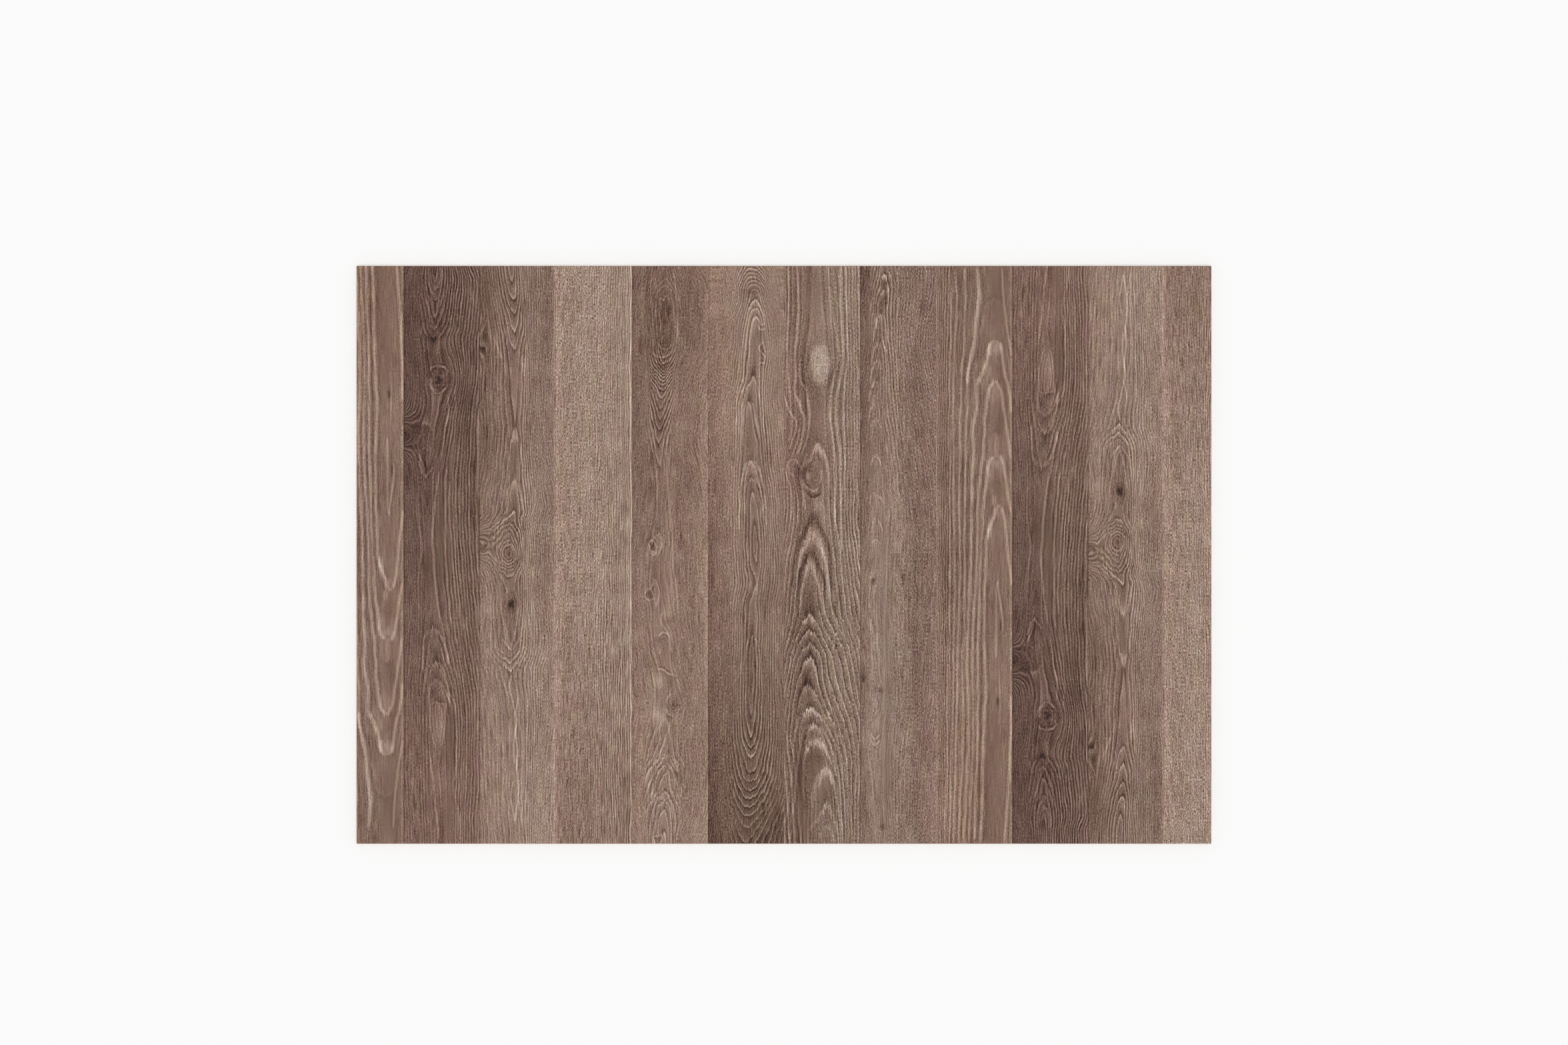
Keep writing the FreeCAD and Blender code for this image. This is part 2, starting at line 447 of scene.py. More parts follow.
            (797, 930, 12, 50, 5), (766, 860, 16, 100, -6), (728, 440, 10, 50, -4), (727, 700, 10, 60, -4),
            (776, 1030, 10, 40, -4), (777, 1060, 4, 60, 8), (777, 1190, 4, 40, 8), (754, 920, 10, 40, -3),
            (760, 800, 16, 50, -2), (730, 430, 10, 40, -3), (776, 560, 8, 60, 3), (733, 460, 11, 80, -3),
            (733, 680, 10, 50, -4), (755, 430, 10, 50, -3), (798, 450, 10, 70, -3), (776, 860, 10, 80, -3),
            (776, 1060, 9, 60, -5), (733, 930, 9, 60, 4), (798, 930, 9, 60, 3), (819, 1060, 9, 60, -4),
            (819, 450, 9, 80, -2), (733, 1080, 9, 150, 3), (755, 1190, 9, 60, 3), (733, 540, 9, 60, -3),
            (776, 1000, 9, 200, -2),
        ],
        "tufts": [(773, 655, 5, 11, 14), (775, 722, 5, 9, 14)],
        "arches": [],
        "paths": [
            (
                1.2, 30, (1010, 768), (1030, 764), (1045, 767), (1064, 771), (1081, 774), (1100, 773), (1130, 776),
                (1160, 774)),
            (1.1, 26, (1040, 778), (1060, 775), (1075, 771), (1095, 773), (1120, 770), (1150, 772)),
            (1.1, 26, (1130, 773), (1160, 776), (1190, 778), (1215, 775), (1234, 773)),
            (1, 22, (1170, 770), (1195, 767), (1215, 770), (1236, 773)), (1, 18, (1200, 779), (1240, 785)),
            (1, 16, (1080, 779), (1120, 783), (1180, 782), (1240, 788)),
            (1, 16, (1060, 762), (1110, 764), (1170, 761), (1230, 764)), (1.1, 20, (505, 739), (516, 744), (540, 752)),
        ],
        "legs": [
            (1.3, 18, (655, 773), (662, 767), (680, 763), (705, 760)),
            (1.3, 18, (655, 774), (664, 779), (684, 783), (712, 786)),
            (1.3, 20, (719, 772), (728, 766), (745, 761), (764, 757)),
            (1.3, 20, (719, 773), (728, 777), (750, 782), (775, 787)),
        ],
        "vees": [
            (1.4, 16, (955, 752), (964, 757), (972, 762), (978, 766)),
            (1.4, 16, (952, 782), (962, 777), (971, 771), (978, 766.5)),
            (1.2, 14, (930, 757), (948, 760), (960, 763), (968, 765.5)),
            (1.2, 14, (928, 776), (946, 773), (960, 769), (968, 766)),
            (1.3, 16, (972, 747), (981, 755), (988, 760), (994, 764)),
            (1.3, 16, (968, 787), (978, 779), (987, 770), (994, 764.5)),
            (1.3, 16, (988, 751), (997, 758), (1003, 762), (1008, 766)),
            (1.3, 16, (984, 786), (995, 777), (1002, 770), (1008, 766.5)),
        ],
        "sweeps": [
            (1.5, 18, (748, 789), (755, 781), (762, 776), (767, 771), (774, 766)),
            (1.3, 14, (751, 832), (756, 822), (763, 816), (770, 822), (776, 832)),
            (1.3, 13, (752, 836), (758, 845), (764, 848), (771, 842), (776, 835)),
        ],
    },
    4: {
        "mid": 848,
        "grain": 1.25,
        "slant": -0.28,
        "tone": 148,
        "hue": (1.2, -0.8),
        "axis": [(399, 846), (1266, 850)],
        "phase": [(399, 6), (700, 4.5), (1000, 5.5), (1266, 4)],
        "side": [(-20, 6), (0, 0), (30, 9), (60, 18), (100, 30)],
        "loose": [(399, 0.5), (1266, 0.5)],
        "push": [],
        "knots": [],
        "down": [(399, 6), (700, 4), (900, 2), (1100, -6), (1266, -13)],
        "across": [(834, 6), (850, 0), (880, 0), (900, 1), (918, -4), (938, -6), (947, 3)],
        "hue_x": [(834, -2.4, -2.2), (850, -0.4, -0.6), (880, 0, 0), (920, 0.2, 0.1), (947, 0.8, 0.2)],
        "hue_y": [(399, 0.3, -0.3), (900, 0, 0), (1200, -1, -0.6), (1266, -1, -0.6)],
        "bold_x": [(834, 0.1), (880, 0.35), (905, 0.75), (947, 0.9)],
        "bold_y": [(399, 0.8), (850, 0.9), (1050, 1.1), (1266, 1)],
        "calm": [],
        "fleck_x": [(834, 1.71), (890, 1.575), (925, 1.035), (947, 0.72)],
        "edge": [(834.5, 1, 10), (946.3, 1.1, 26)],
        "sharp": [(399, 2), (1266, 2)],
        "smooth": [],
        "fleck_y": [(399, 1.15), (620, 1.1), (850, 1), (1000, 0.8), (1266, 0.7)],
        "fibre_y": [(399, 0.99), (700, 1.1), (900, 1.43), (1000, 1.65), (1266, 1.65)],
        "fine": 0.82,
        "tints": [
            (905, 560, 20, 110, -0.4, -0.2), (930, 500, 18, 120, 0.2, 1.4), (890, 690, 12, 50, 0.2, -1.2),
            (912, 690, 10, 50, 0, 1.6), (848, 720, 10, 100, -0.8, -0.6), (934, 800, 8, 60, 0.9, 1.1),
            (848, 930, 8, 60, -0.8, -0.5),
        ],
        "marks": [
            (911, 1050, 12, 150, -3), (890, 450, 10, 60, -3), (868, 640, 10, 100, -2), (911, 930, 9, 60, -2),
            (848, 1050, 9, 60, -2), (890, 1190, 10, 60, -3), (868, 1190, 10, 60, -3),
        ],
        "tufts": [],
        "arches": [],
        "paths": [
            (1, 10, (399, 939), (800, 941), (1266, 938)), (1, 8, (399, 929), (700, 931), (1266, 928)),
            (1, 7, (860, 915), (1060, 917), (1266, 914)),
        ],
        "legs": [],
        "vees": [],
        "sweeps": [],
    },
    5: {
        "mid": 995,
        "grain": 1.05,
        "tone": 134.5,
        "hue": (-0.4, -2.1),
        "axis": [
            (399, 996), (470, 997), (512, 996), (544, 993), (612, 990), (666, 988), (701, 989), (800, 987),
            (869, 982), (920, 985), (1000, 1000), (1057, 1008), (1132, 1001), (1156, 1000), (1199, 996), (1266, 994),
        ],
        "phase": [
            (399, 9), (418, 8), (428, 7), (436, 6), (443, 5), (448, 4), (453, 3), (466, 2.2), (479, 3), (505, 3.6),
            (514, 4), (520, 4.6), (525, 5), (536, 6), (545, 7), (552, 8), (557.6, 9), (562, 10), (567, 11),
            (572.6, 12), (578.3, 13), (586, 14), (597.6, 15), (613, 16), (629, 17), (645, 18), (666, 19), (701, 20),
            (760, 20.6), (800, 20), (840, 19.4), (869, 19), (910, 18.6), (1079, 18), (1132, 17), (1146, 16),
            (1156, 15), (1187, 14), (1199, 13), (1214, 12), (1266, 10.6),
        ],
        "side": [
            (-52, 32), (-40, 26), (-26, 18), (-20, 12.5), (-16, 9), (-8, 5.5), (0, 0), (8, 5.5), (16, 9), (20, 12.5),
            (26, 18), (40, 25), (68, 34),
        ],
        "spread": [
            (399, 0.85), (430, 0.7), (530, 0.72), (560, 1), (640, 1), (720, 0.75), (1070, 0.6), (1110, 0.55),
            (1215, 0.6), (1266, 0.8),
        ],
        "loose": [
            (399, 0.7), (440, 0.8), (520, 0.7), (548, 0.5), (580, 0.45), (620, 0.6), (700, 0.9), (760, 0.9),
            (1070, 0.7), (1266, 0.8),
        ],
        "push": [
            (978, 820, 11, 17, 978, 0.6), (974, 894, 11, 17, 974, 0.6), (995.6, 958.6, 14, 20, 995.6, 0.6),
            (1019, 997, 10, 14, 1019, 0.5), (1011, 1057, 18, 28, 1011, 0.7), (987.6, 1258, 10, 14, 987.6, 0.6),
        ],
        "knots": [
            (979, 820, 7, 11, "disc", -0.4), (974, 893, 8, 10, "disc", -0.2), (993, 959, 11, 9, "swirl", 0.5),
            (1018, 996, 7, 8, "swirl", -0.6), (1010, 1058, 13, 15, "swirl", -0.1), (987.6, 1260, 8, 9, "disc", 0.2),
            (997, 504, 9, 12, "eye", 0.2),
        ],
        "down": [(399, -14), (480, -11), (620, -5), (780, 0), (930, 5), (1266, 8)],
        "across": [(948, -7), (965, 0), (985, -2), (1010, 1), (1035, -3), (1047, 4), (1062, 17)],
        "hue_x": [(948, 0.2, 1), (975, 0.2, 0.4), (1010, 0.2, 0), (1040, -0.5, -0.6), (1062, -0.4, -0.8)],
        "hue_y": [(399, -0.4, 0), (800, -0.4, -0.3), (1000, 0.3, 0), (1200, 1, 0.8), (1266, 1, 0.8)],
        "bold_x": [(948, 0.2), (966, 0.3), (974, 1), (985, 1.15), (1005, 1.15), (1014, 1), (1022, 0.35), (1062, 0.3)],
        "bold_y": [
            (399, 0.5), (430, 0.4), (505, 0.4), (528, 0.8), (545, 1.3), (590, 1.3), (630, 1), (700, 0.5), (760, 0.35),
            (1080, 0.4), (1120, 0.8), (1200, 0.9), (1266, 0.9),
        ],
        "calm": [(1001.7, 466, 5, 12, 0.8), (990, 1045, 12, 60, 0.85), (1001, 1102, 9, 24, 0.75)],
        "fleck_x": [(948, 1.3), (972, 1.1), (1000, 0.8), (1020, 1.3), (1062, 1.3)],
        "edge": [(949.5, 1.2, -6), (1060.5, 1, 4)],
        "sharp": [(399, 2), (540, 2), (580, 1.85), (640, 1.75), (720, 1.7), (1100, 1.7), (1266, 1.9)],
        "smooth": [
            (1000, 1015, 14, 50, 0.35), (998, 900, 14, 60, 0.3), (988, 860, 10, 40, 0.3), (990, 930, 12, 30, 0.3),
            (1006, 1120, 10, 24, 0.3),
        ],
        "fleck_y": [(399, 1), (1266, 1)],
        "fibre_y": [(399, 1), (1266, 1)],
        "fine": 0.9,
        "tints": [
            (960, 1150, 12, 110, -1.4, -2.4), (990, 780, 14, 90, 0.5, 1.5), (1050, 830, 10, 130, 1.2, 0.2),
            (1004, 820, 8, 90, -0.8, -1.6), (960, 720, 10, 120, 0.8, 1.6), (960, 440, 10, 60, 1, 1.4),
            (960, 1000, 10, 90, -0.9, -0.5), (982, 1050, 10, 60, 0, -1.1), (1048, 700, 8, 60, 0.5, -0.4),
            (1048, 930, 8, 60, 1, 0.1), (960, 1190, 10, 60, -0.6, -1.6), (988, 1030, 8, 14, 2.2, 2.4),
            (987, 1068, 7, 12, 2.8, 3.4), (967, 470, 6, 60, 1.8, 0.4), (1015, 500, 5, 40, 1.6, 1.8),
            (998, 548, 14, 10, -1.6, 0.4), (1002, 466, 5, 14, -2, 0.6),
        ],
        "marks": [
            (993, 481, 22, 60, -14), (990, 470, 6, 24, -6), (994, 548, 13, 7, -14), (991, 610, 12, 60, -8),
            (1015, 500, 4, 40, 10), (980, 515, 4, 10, 8), (991, 540, 9, 5, -10), (997, 921, 6, 9, 14),
            (989, 1022, 7, 11, 22), (987, 1072, 7, 10, 22), (983, 1134, 10, 8, 14), (986, 822, 3, 5, 22),
            (981, 831, 5, 3, 20), (981, 899, 3, 5, 18), (1005, 930, 7, 6, -20), (1014, 1162, 7, 6, -22),
            (995, 1198, 3, 3, 26), (1003, 1020, 10, 14, -8), (1010, 985, 8, 9, -8), (957, 480, 5, 60, 6),
            (964, 450, 2.5, 50, 12), (971, 450, 4, 50, -8), (1046, 600, 3.5, 160, -8), (986, 940, 8, 24, 6),
            (985, 1045, 5, 16, -6), (1026, 570, 10, 60, 5), (1055, 1130, 12, 110, -9), (1050, 640, 14, 90, 5),
            (960, 600, 12, 90, -4), (960, 1190, 14, 80, 6), (983, 740, 12, 80, -5), (982, 1065, 9, 50, 5),
            (1003, 900, 8, 60, 5), (975, 813, 5, 7, -14), (971, 889, 4, 6, -10), (1016, 1058, 5, 9, -16),
            (988, 960, 7, 5, -14), (1001.7, 466, 3.5, 12, -12), (1010, 1057, 9, 11, -14), (982, 780, 8, 110, -5),
            (1003, 830, 7, 80, 5), (1050, 1060, 12, 70, -6), (1050, 830, 12, 120, 3), (1003, 570, 8, 60, -4),
            (1003, 925, 8, 50, 5), (960, 560, 10, 60, -2), (982, 690, 8, 60, -3), (1050, 1060, 10, 60, -3),
            (1003, 1180, 9, 70, -3), (982, 450, 10, 60, -3), (1003, 560, 9, 50, -3), (1025, 600, 9, 90, 2),
            (1048, 680, 8, 60, 3), (960, 680, 10, 90, -2), (982, 830, 8, 110, -2), (1003, 930, 9, 60, 3),
            (1003, 1060, 9, 40, 2), (1048, 1130, 9, 110, -3), (1036, 620, 9, 120, 2), (960, 1050, 9, 60, 3),
            (982, 1050, 9, 60, 3), (1025, 1190, 9, 60, 3), (1002.5, 466, 4, 12, -10), (997, 512, 3, 5, -12),
        ],
        "tufts": [(989, 1024, 6, 14, 10), (987, 1074, 7, 11, 12)],
        "arches": [],
        "paths": [
            (1, 20, (804, 990), (815, 993), (828, 990), (836, 985)),
            (1.3, -11, (905, 968.6), (925, 970), (950, 973), (975, 976), (990, 980), (1002, 985)),
            (1.2, 13, (905, 971), (925, 972.4), (950, 975.4), (975, 979), (990, 982.6), (1000, 987)),
            (1.2, 9, (1004, 976), (1020, 979.5), (1040, 982), (1060, 981), (1080, 980), (1104, 983)),
            (1.2, -9, (1004, 974), (1020, 977), (1040, 979.5), (1060, 979), (1080, 978), (1104, 980.6)),
            (1.4, 22, (1100, 999), (1118, 995), (1140, 983), (1172, 967)),
            (1.1, 18, (1108, 1004), (1124, 1001), (1146, 990), (1180, 972)),
            (1.2, 20, (916, 994), (926, 992), (936, 993), (944, 998), (952, 1003), (966, 1005), (984, 1008)),
            (1.2, 18, (800, 1010), (840, 1009), (880, 1014), (920, 1018)),
            (1, 14, (399, 978), (440, 976), (480, 979), (520, 979)),
            (1.1, 16, (399, 1010), (430, 1013), (470, 1016), (510, 1016)),
            (1, 16, (1030, 1008), (1040, 1004), (1052, 1000)),
            (1, 14, (640, 981), (680, 983), (720, 985), (780, 986)),
            (1, 14, (640, 1001), (700, 1000), (760, 1004), (800, 1008)),
            (1.2, 20, (449, 989), (460, 990), (473, 988.6), (488, 991), (500, 989)),
            (1.1, 16, (452, 999), (458, 1000), (470, 999), (478, 1001), (484, 1004)),
            (1.1, 16, (440, 1006), (450, 1008), (462, 1010), (480, 1012), (496, 1013)),
            (1.1, 14, (420, 984), (436, 986), (448, 984), (462, 983), (480, 984)),
            (1.1, -14, (452, 997), (464, 996), (476, 997), (490, 995)),
        ],
        "legs": [
            (1.2, 26, (799, 988), (806, 983), (815, 976), (822, 972)),
            (1.2, 22, (799, 988.5), (806, 992), (815, 994), (824, 991)),
            (1.2, 26, (868, 982), (874, 980), (884, 975), (890, 967)),
            (1.2, 26, (868, 982.5), (876, 986), (890, 989.6), (902, 988), (914, 981)),
            (1.2, 20, (1078, 996), (1084, 992), (1096, 989), (1112, 990)),
            (1.2, 20, (1078, 996.5), (1084, 1001), (1096, 1003), (1112, 1006)),
            (1.4, 24, (1131, 1001), (1137, 991), (1146, 984), (1160, 977), (1190, 972)),
            (1.4, 24, (1131, 1002), (1138, 1009), (1148, 1015), (1160, 1019)),
            (1.3, 22, (1146, 1000), (1152, 993), (1162, 986), (1178, 980), (1200, 977)),
            (1.3, 22, (1146, 1001), (1152, 1006), (1164, 1012), (1180, 1016)),
            (1.2, 20, (1187, 994), (1192, 988), (1204, 983), (1230, 980)),
            (1.2, 20, (1187, 995), (1192, 1001), (1204, 1006), (1230, 1009)),
        ],
        "vees": [],
        "sweeps": [
            (1.4, 26, (985, 1003), (993, 1004), (1000, 1009), (1006, 1012), (1013, 1011)),
            (1.3, -18, (985, 1001), (993, 1001), (1000, 1006), (1006, 1009)),
            (1.2, 24, (975, 524), (982, 532), (993, 536.5), (1005, 531), (1013, 524)),
            (1.2, 22, (978, 537), (986, 543), (994, 545), (1003, 541), (1010, 535)),
            (1.2, 28, (987, 955), (994, 949), (1000, 950), (1004, 957)),
            (1.1, 24, (999, 1052), (1003, 1044), (1010, 1041)), (1.3, 26, (998, 1062), (1003, 1071), (1010, 1074)),
            (1, 18, (984, 970), (988, 980), (993, 972)), (1, 22, (975, 829), (981, 832.5), (986, 829)),
            (1, 18, (983, 431), (992, 425), (998, 418), (1005, 427), (1011, 436)),
            (1, 18, (984, 440), (991, 432), (998, 428), (1005, 434), (1010, 442)),
            (1.2, 24, (987, 455), (990, 448), (995, 450), (999, 444), (1004, 449), (1007, 456)),
            (1.1, 18, (992, 512), (995, 505), (999, 503), (1002, 508), (998, 515)),
            (1.2, 22, (985, 513), (990, 520), (997, 524), (1004, 522), (1009, 516)),
        ],
    },
    6: {
        "mid": 1128,
        "grain": 1.08,
        "tone": 128,
        "hue": (0.2, -1.3),
        "axis": [
            (399, 1128), (450, 1133), (500, 1132), (563, 1130), (606, 1124), (690, 1126), (738, 1129), (786, 1132),
            (875, 1135), (903, 1129), (953, 1128), (1074, 1126), (1161, 1125), (1225, 1122), (1266, 1119),
        ],
        "phase": [
            (399, 15.4), (402, 15), (408.5, 14), (414, 13), (420, 12), (425.7, 11), (432.4, 10), (449.6, 9), (462, 8),
            (473.5, 7), (491, 6.4), (540, 6.2), (563.4, 6), (603, 5), (690, 4), (716, 3), (738, 2), (786.5, 1),
            (815, 0.6), (844, 1), (872, 1.95), (903, 1.7), (953, 1), (1010, 0.4), (1074, 1), (1084, 1.5), (1105.5, 2),
            (1120.4, 3), (1137, 4), (1161, 5), (1174, 6), (1187, 7), (1199.5, 8), (1212.5, 9), (1225.6, 10),
            (1243, 11), (1264, 12),
        ],
        "side": [
            (-70, 20), (-45, 12.8), (-31, 8.9), (-22, 6.3), (-15, 4.1), (-9, 2.3), (0, 0), (9, 2.3), (15, 4.1),
            (22, 6.3), (31, 8.9), (57, 17),
        ],
        "spread": [
            (399, 1.6), (440, 1.6), (480, 1.3), (600, 1.1), (700, 0.95), (1090, 0.9), (1180, 0.8), (1266, 0.75),
        ],
        "loose": [
            (399, 0.35), (440, 0.35), (500, 0.6), (700, 0.8), (1060, 0.6), (1120, 0.65), (1180, 0.6), (1266, 0.6),
        ],
        "push": [(1146, 530, 10, 24, 1138, 0.5)],
        "knots": [],
        "down": [(399, 13), (580, 14), (780, 7), (930, -1), (1080, -12), (1180, -20), (1266, -29)],
        "across": [(1062, -7), (1080, 0), (1098, 4), (1120, -2), (1176, 3)],
        "hue_x": [(1062, -2.6, -2.2), (1080, -2, -2), (1110, 0.1, 0.2), (1150, 0.6, 0.4), (1176, -0.8, -1.2)],
        "hue_y": [(399, 0, -0.3), (880, 0.2, 0.6), (1000, 1, 1), (1266, 1, 1.2)],
        "bold_x": [(1062, 0.2), (1095, 0.3), (1105, 0.85), (1125, 1.15), (1150, 0.95), (1160, 0.7), (1176, 0.6)],
        "bold_y": [
            (399, 1.15), (440, 1.1), (480, 0.85), (560, 0.9), (700, 0.85), (1060, 0.85), (1100, 1.2), (1266, 1.15),
        ],
        "calm": [(1140, 505, 9, 16, 0.6), (1162, 450, 10, 60, 0.3), (1131, 438, 8, 6, 0.7), (1168, 420, 14, 40, 0.8)],
        "fleck_x": [(1062, 1.45), (1095, 1.3), (1112, 0.8), (1150, 0.8), (1176, 1)],
        "edge": [(1063, 1.2, -8)],
        "sharp": [
            (399, 2), (440, 2), (480, 1.8), (600, 1.8), (800, 1.9), (1060, 1.8), (1100, 1.7), (1200, 1.65),
            (1266, 1.6),
        ],
        "smooth": [
            (1131, 630, 8, 50, 0.6), (1138, 500, 7, 26, 0.5), (1129, 900, 7, 30, 0.3), (1132, 780, 6, 60, 0.3),
        ],
        "fleck_y": [(399, 1), (1266, 1)],
        "fibre_y": [(399, 1), (1266, 1)],
        "fine": 0.9,
        "tints": [
            (1097, 600, 12, 140, 0.2, -2.4), (1075, 430, 14, 60, -0.2, -2), (1160, 660, 12, 70, -0.8, -2),
            (1075, 930, 12, 60, -1.2, 0), (1075, 560, 10, 60, -0.9, -1.2), (1097, 720, 8, 80, -0.2, -1.3),
            (1140, 930, 9, 70, -0.8, -0.3),
        ],
        "marks": [
            (1133, 466, 6, 26, 8), (1139, 503, 6, 10, -14), (1131, 438, 11, 5, -18), (1110, 627, 6, 40, 8),
            (1067, 830, 6, 90, -10), (1074, 1240, 14, 30, -8), (1168, 1250, 12, 26, -6), (1124, 1010, 5, 60, -8),
            (1131, 812, 5, 22, -10), (1128, 583, 4, 16, -14), (1124, 640, 5, 26, -10), (1146, 526, 5, 8, -8),
            (1129, 725, 7, 8, -10), (1129, 962, 5, 8, -16), (1134, 884, 8, 10, 8), (1128, 1092, 8, 6, -10),
            (1074, 440, 12, 50, 7), (1076, 690, 12, 50, -4), (1150, 700, 8, 50, -4), (1097, 780, 10, 60, 4),
            (1095, 1050, 10, 60, -4), (1075, 690, 10, 50, -3), (1140, 600, 12, 70, -3), (1097, 1080, 10, 90, -3),
            (1118, 720, 9, 90, -3), (1075, 1180, 10, 60, -3), (1075, 450, 9, 50, 3), (1118, 450, 10, 60, -3),
            (1162, 450, 9, 60, -2), (1118, 730, 9, 100, -2), (1140, 680, 8, 50, -2), (1162, 680, 9, 60, 2),
            (1097, 1120, 9, 110, -2), (1075, 1190, 10, 60, -2),
        ],
        "tufts": [(1128, 578, 4, 12, 10), (1127, 704, 8, 10, 10)],
        "arches": [],
        "paths": [
            (1.2, 26, (512, 1146.6), (522, 1138), (530, 1143.7), (538, 1149.4)),
            (1, 16, (470, 1121), (520, 1113), (600, 1106), (680, 1104)),
            (1, 16, (470, 1126), (540, 1118), (620, 1112), (680, 1110)),
            (1.1, 18, (566, 1131), (590, 1138), (620, 1143), (680, 1147)),
        ],
        "legs": [
            (1.2, 22, (452, 1132), (458, 1127), (470, 1123), (500, 1119), (540, 1115)),
            (1.2, 22, (452, 1133), (458, 1139), (470, 1145), (484, 1148)),
            (1.2, 20, (473, 1132), (480, 1129), (500, 1126), (540, 1122)),
            (1.2, 24, (601, 1124), (607, 1119), (622, 1116), (660, 1114)),
            (1.2, 24, (601, 1125), (607, 1129), (622, 1132), (660, 1138)),
            (1.2, 22, (690, 1126), (697, 1119), (712, 1114), (745, 1110), (800, 1109)),
            (1.3, 22, (690, 1127), (697, 1134), (712, 1141), (740, 1147), (790, 1150)),
            (1.1, 22, (716, 1128), (722, 1122), (736, 1118), (770, 1117)),
            (1.1, 22, (716, 1129), (722, 1135), (736, 1140), (770, 1144)),
            (1.1, 20, (953, 1128), (958, 1124), (975, 1119), (1010, 1117)),
            (1.1, 20, (953, 1129), (958, 1133), (975, 1138), (1010, 1140)),
        ],
        "vees": [],
        "sweeps": [
            (1.2, 26, (1132, 474), (1138, 480), (1143, 487), (1149, 484)),
            (1.2, 24, (1136, 488), (1142, 495), (1148, 494)), (1.1, 22, (1138, 547), (1142, 544), (1149, 545)),
        ],
    },
    7: {
        "mid": 1222,
        "thick": 1.7,
        "grain": 1,
        "tone": 131.5,
        "hue": (1.5, 0.4),
        "axis": [
            (399, 1226), (665, 1227), (712, 1220), (735, 1221), (800, 1220), (836, 1217), (922, 1214), (969, 1216),
            (990, 1215), (1028, 1212), (1062, 1216), (1087, 1220), (1110, 1224), (1151, 1234), (1203, 1241),
            (1266, 1243),
        ],
        "phase": [
            (399, 14.9), (540, 14.6), (620, 14.5), (665, 14), (735, 13.4), (779, 13), (829, 12), (922, 11), (946, 10),
            (966, 9), (986, 8), (1028, 7), (1063, 6), (1087, 5), (1110, 4), (1151, 3), (1203, 2), (1239, 1),
            (1266, 0.5),
        ],
        "side": [
            (-66, 17), (-52, 12.5), (-40, 9.6), (-29, 7), (-19, 4.2), (0, 0), (15, 4), (24, 6.4), (37, 8.8),
            (46, 10.4), (60, 13.5), (78, 17.8),
        ],
        "spread": [(399, 1.15), (660, 1.15), (780, 1.15), (900, 0.95), (1000, 0.85), (1080, 0.75), (1266, 0.85)],
        "loose": [(399, 0.6), (680, 0.8), (780, 1.2), (1000, 1), (1120, 1.2), (1266, 1.2)],
        "push": [(1230, 546, 30, 52, 1230, 0.55), (1216, 708, 20, 28, 1218, 0.8)],
        "knots": [],
        "down": [(399, 6), (650, 4), (780, 3), (900, -3), (1150, -3), (1266, -7)],
        "across": [(1176, 2), (1192, -8), (1202, -11), (1215, -5), (1235, 4), (1290, 6)],
        "hue_x": [(1176, -2.2, -1.4), (1210, -1.6, -1.2), (1240, 0.2, 0), (1262, 0.9, 0.2), (1290, -0.4, -0.2)],
        "hue_y": [(399, 0, 0.1), (720, -0.8, -0.4), (800, 0.4, 0.2), (900, 1.4, 0.9), (1266, 1, 1.2)],
        "bold_x": [(1176, 0.8), (1195, 1.05), (1230, 1.15), (1260, 1), (1290, 0.85)],
        "bold_y": [(399, 0.8), (600, 0.65), (690, 0.7), (770, 1.2), (1266, 1.2)],
        "calm": [
            (1222, 440, 18, 50, 0.85), (1228, 546, 20, 44, 0.95), (1226, 630, 14, 26, 0.8), (1227, 757, 9, 9, 0.7),
            (1192, 650, 14, 60, 0.7), (1218, 706, 20, 36, 1), (1221, 806, 20, 42, 1), (1226, 1165, 30, 62, 1),
            (1236, 1250, 26, 26, 1), (1203, 1180, 12, 60, 0.9), (1218, 862, 23, 50, 0.75),
        ],
        "fleck_x": [(1176, 1.265), (1290, 1.495)],
        "edge": [(1288.8, 0.9, 12)],
        "sharp": [(399, 2), (700, 2), (780, 1.9), (880, 1.8), (1040, 1.85), (1266, 1.9)],
        "smooth": [
            (1222, 450, 18, 50, 0.6), (1199, 1165, 7, 60, 0.7), (1222, 1150, 13, 36, 0.6), (1236, 1185, 9, 26, 0.6),
            (1210, 1235, 16, 24, 0.6), (1228, 700, 20, 60, 0.3), (1222, 620, 14, 30, 0.4), (1200, 1245, 12, 20, 0.5),
        ],
        "fleck_y": [(399, 1), (1266, 1)],
        "fibre_y": [(399, 1), (1266, 1)],
        "fine": 1,
        "tints": [
            (1188, 440, 12, 70, 0, -1.6), (1212, 480, 10, 90, 0, -1.3), (1255, 440, 10, 60, 0.3, -1),
            (1188, 690, 12, 60, -1.4, -2), (1255, 1060, 14, 60, -1.6, -0.4), (1276, 1120, 14, 150, -1.6, -0.6),
            (1276, 560, 9, 60, 1.1, 1.1), (1212, 1060, 9, 60, 0, 1.2), (1212, 560, 9, 60, 0, -1),
            (1212, 820, 8, 50, -0.6, -1.5), (1190, 690, 9, 50, -0.8, -1.4), (1229, 548, 18, 30, 3, 2),
        ],
        "marks": [
            (1229, 546, 24, 38, -14), (1243, 566, 7, 12, -14), (1214, 576, 8, 10, -12), (1200, 714, 8, 18, -16),
            (1208, 705, 10, 8, -14), (1214, 894, 11, 24, -14), (1216, 975, 8, 6, -12), (1210, 1012, 8, 10, -12),
            (1203, 1181, 12, 44, -16), (1227, 757, 7, 12, 18), (1213, 765, 4, 7, 12), (1224, 640, 10, 22, -6),
            (1212, 713, 4, 7, 26), (1230, 1140, 10, 10, -8), (1190, 1250, 8, 8, 10), (1196, 600, 4, 10, 18),
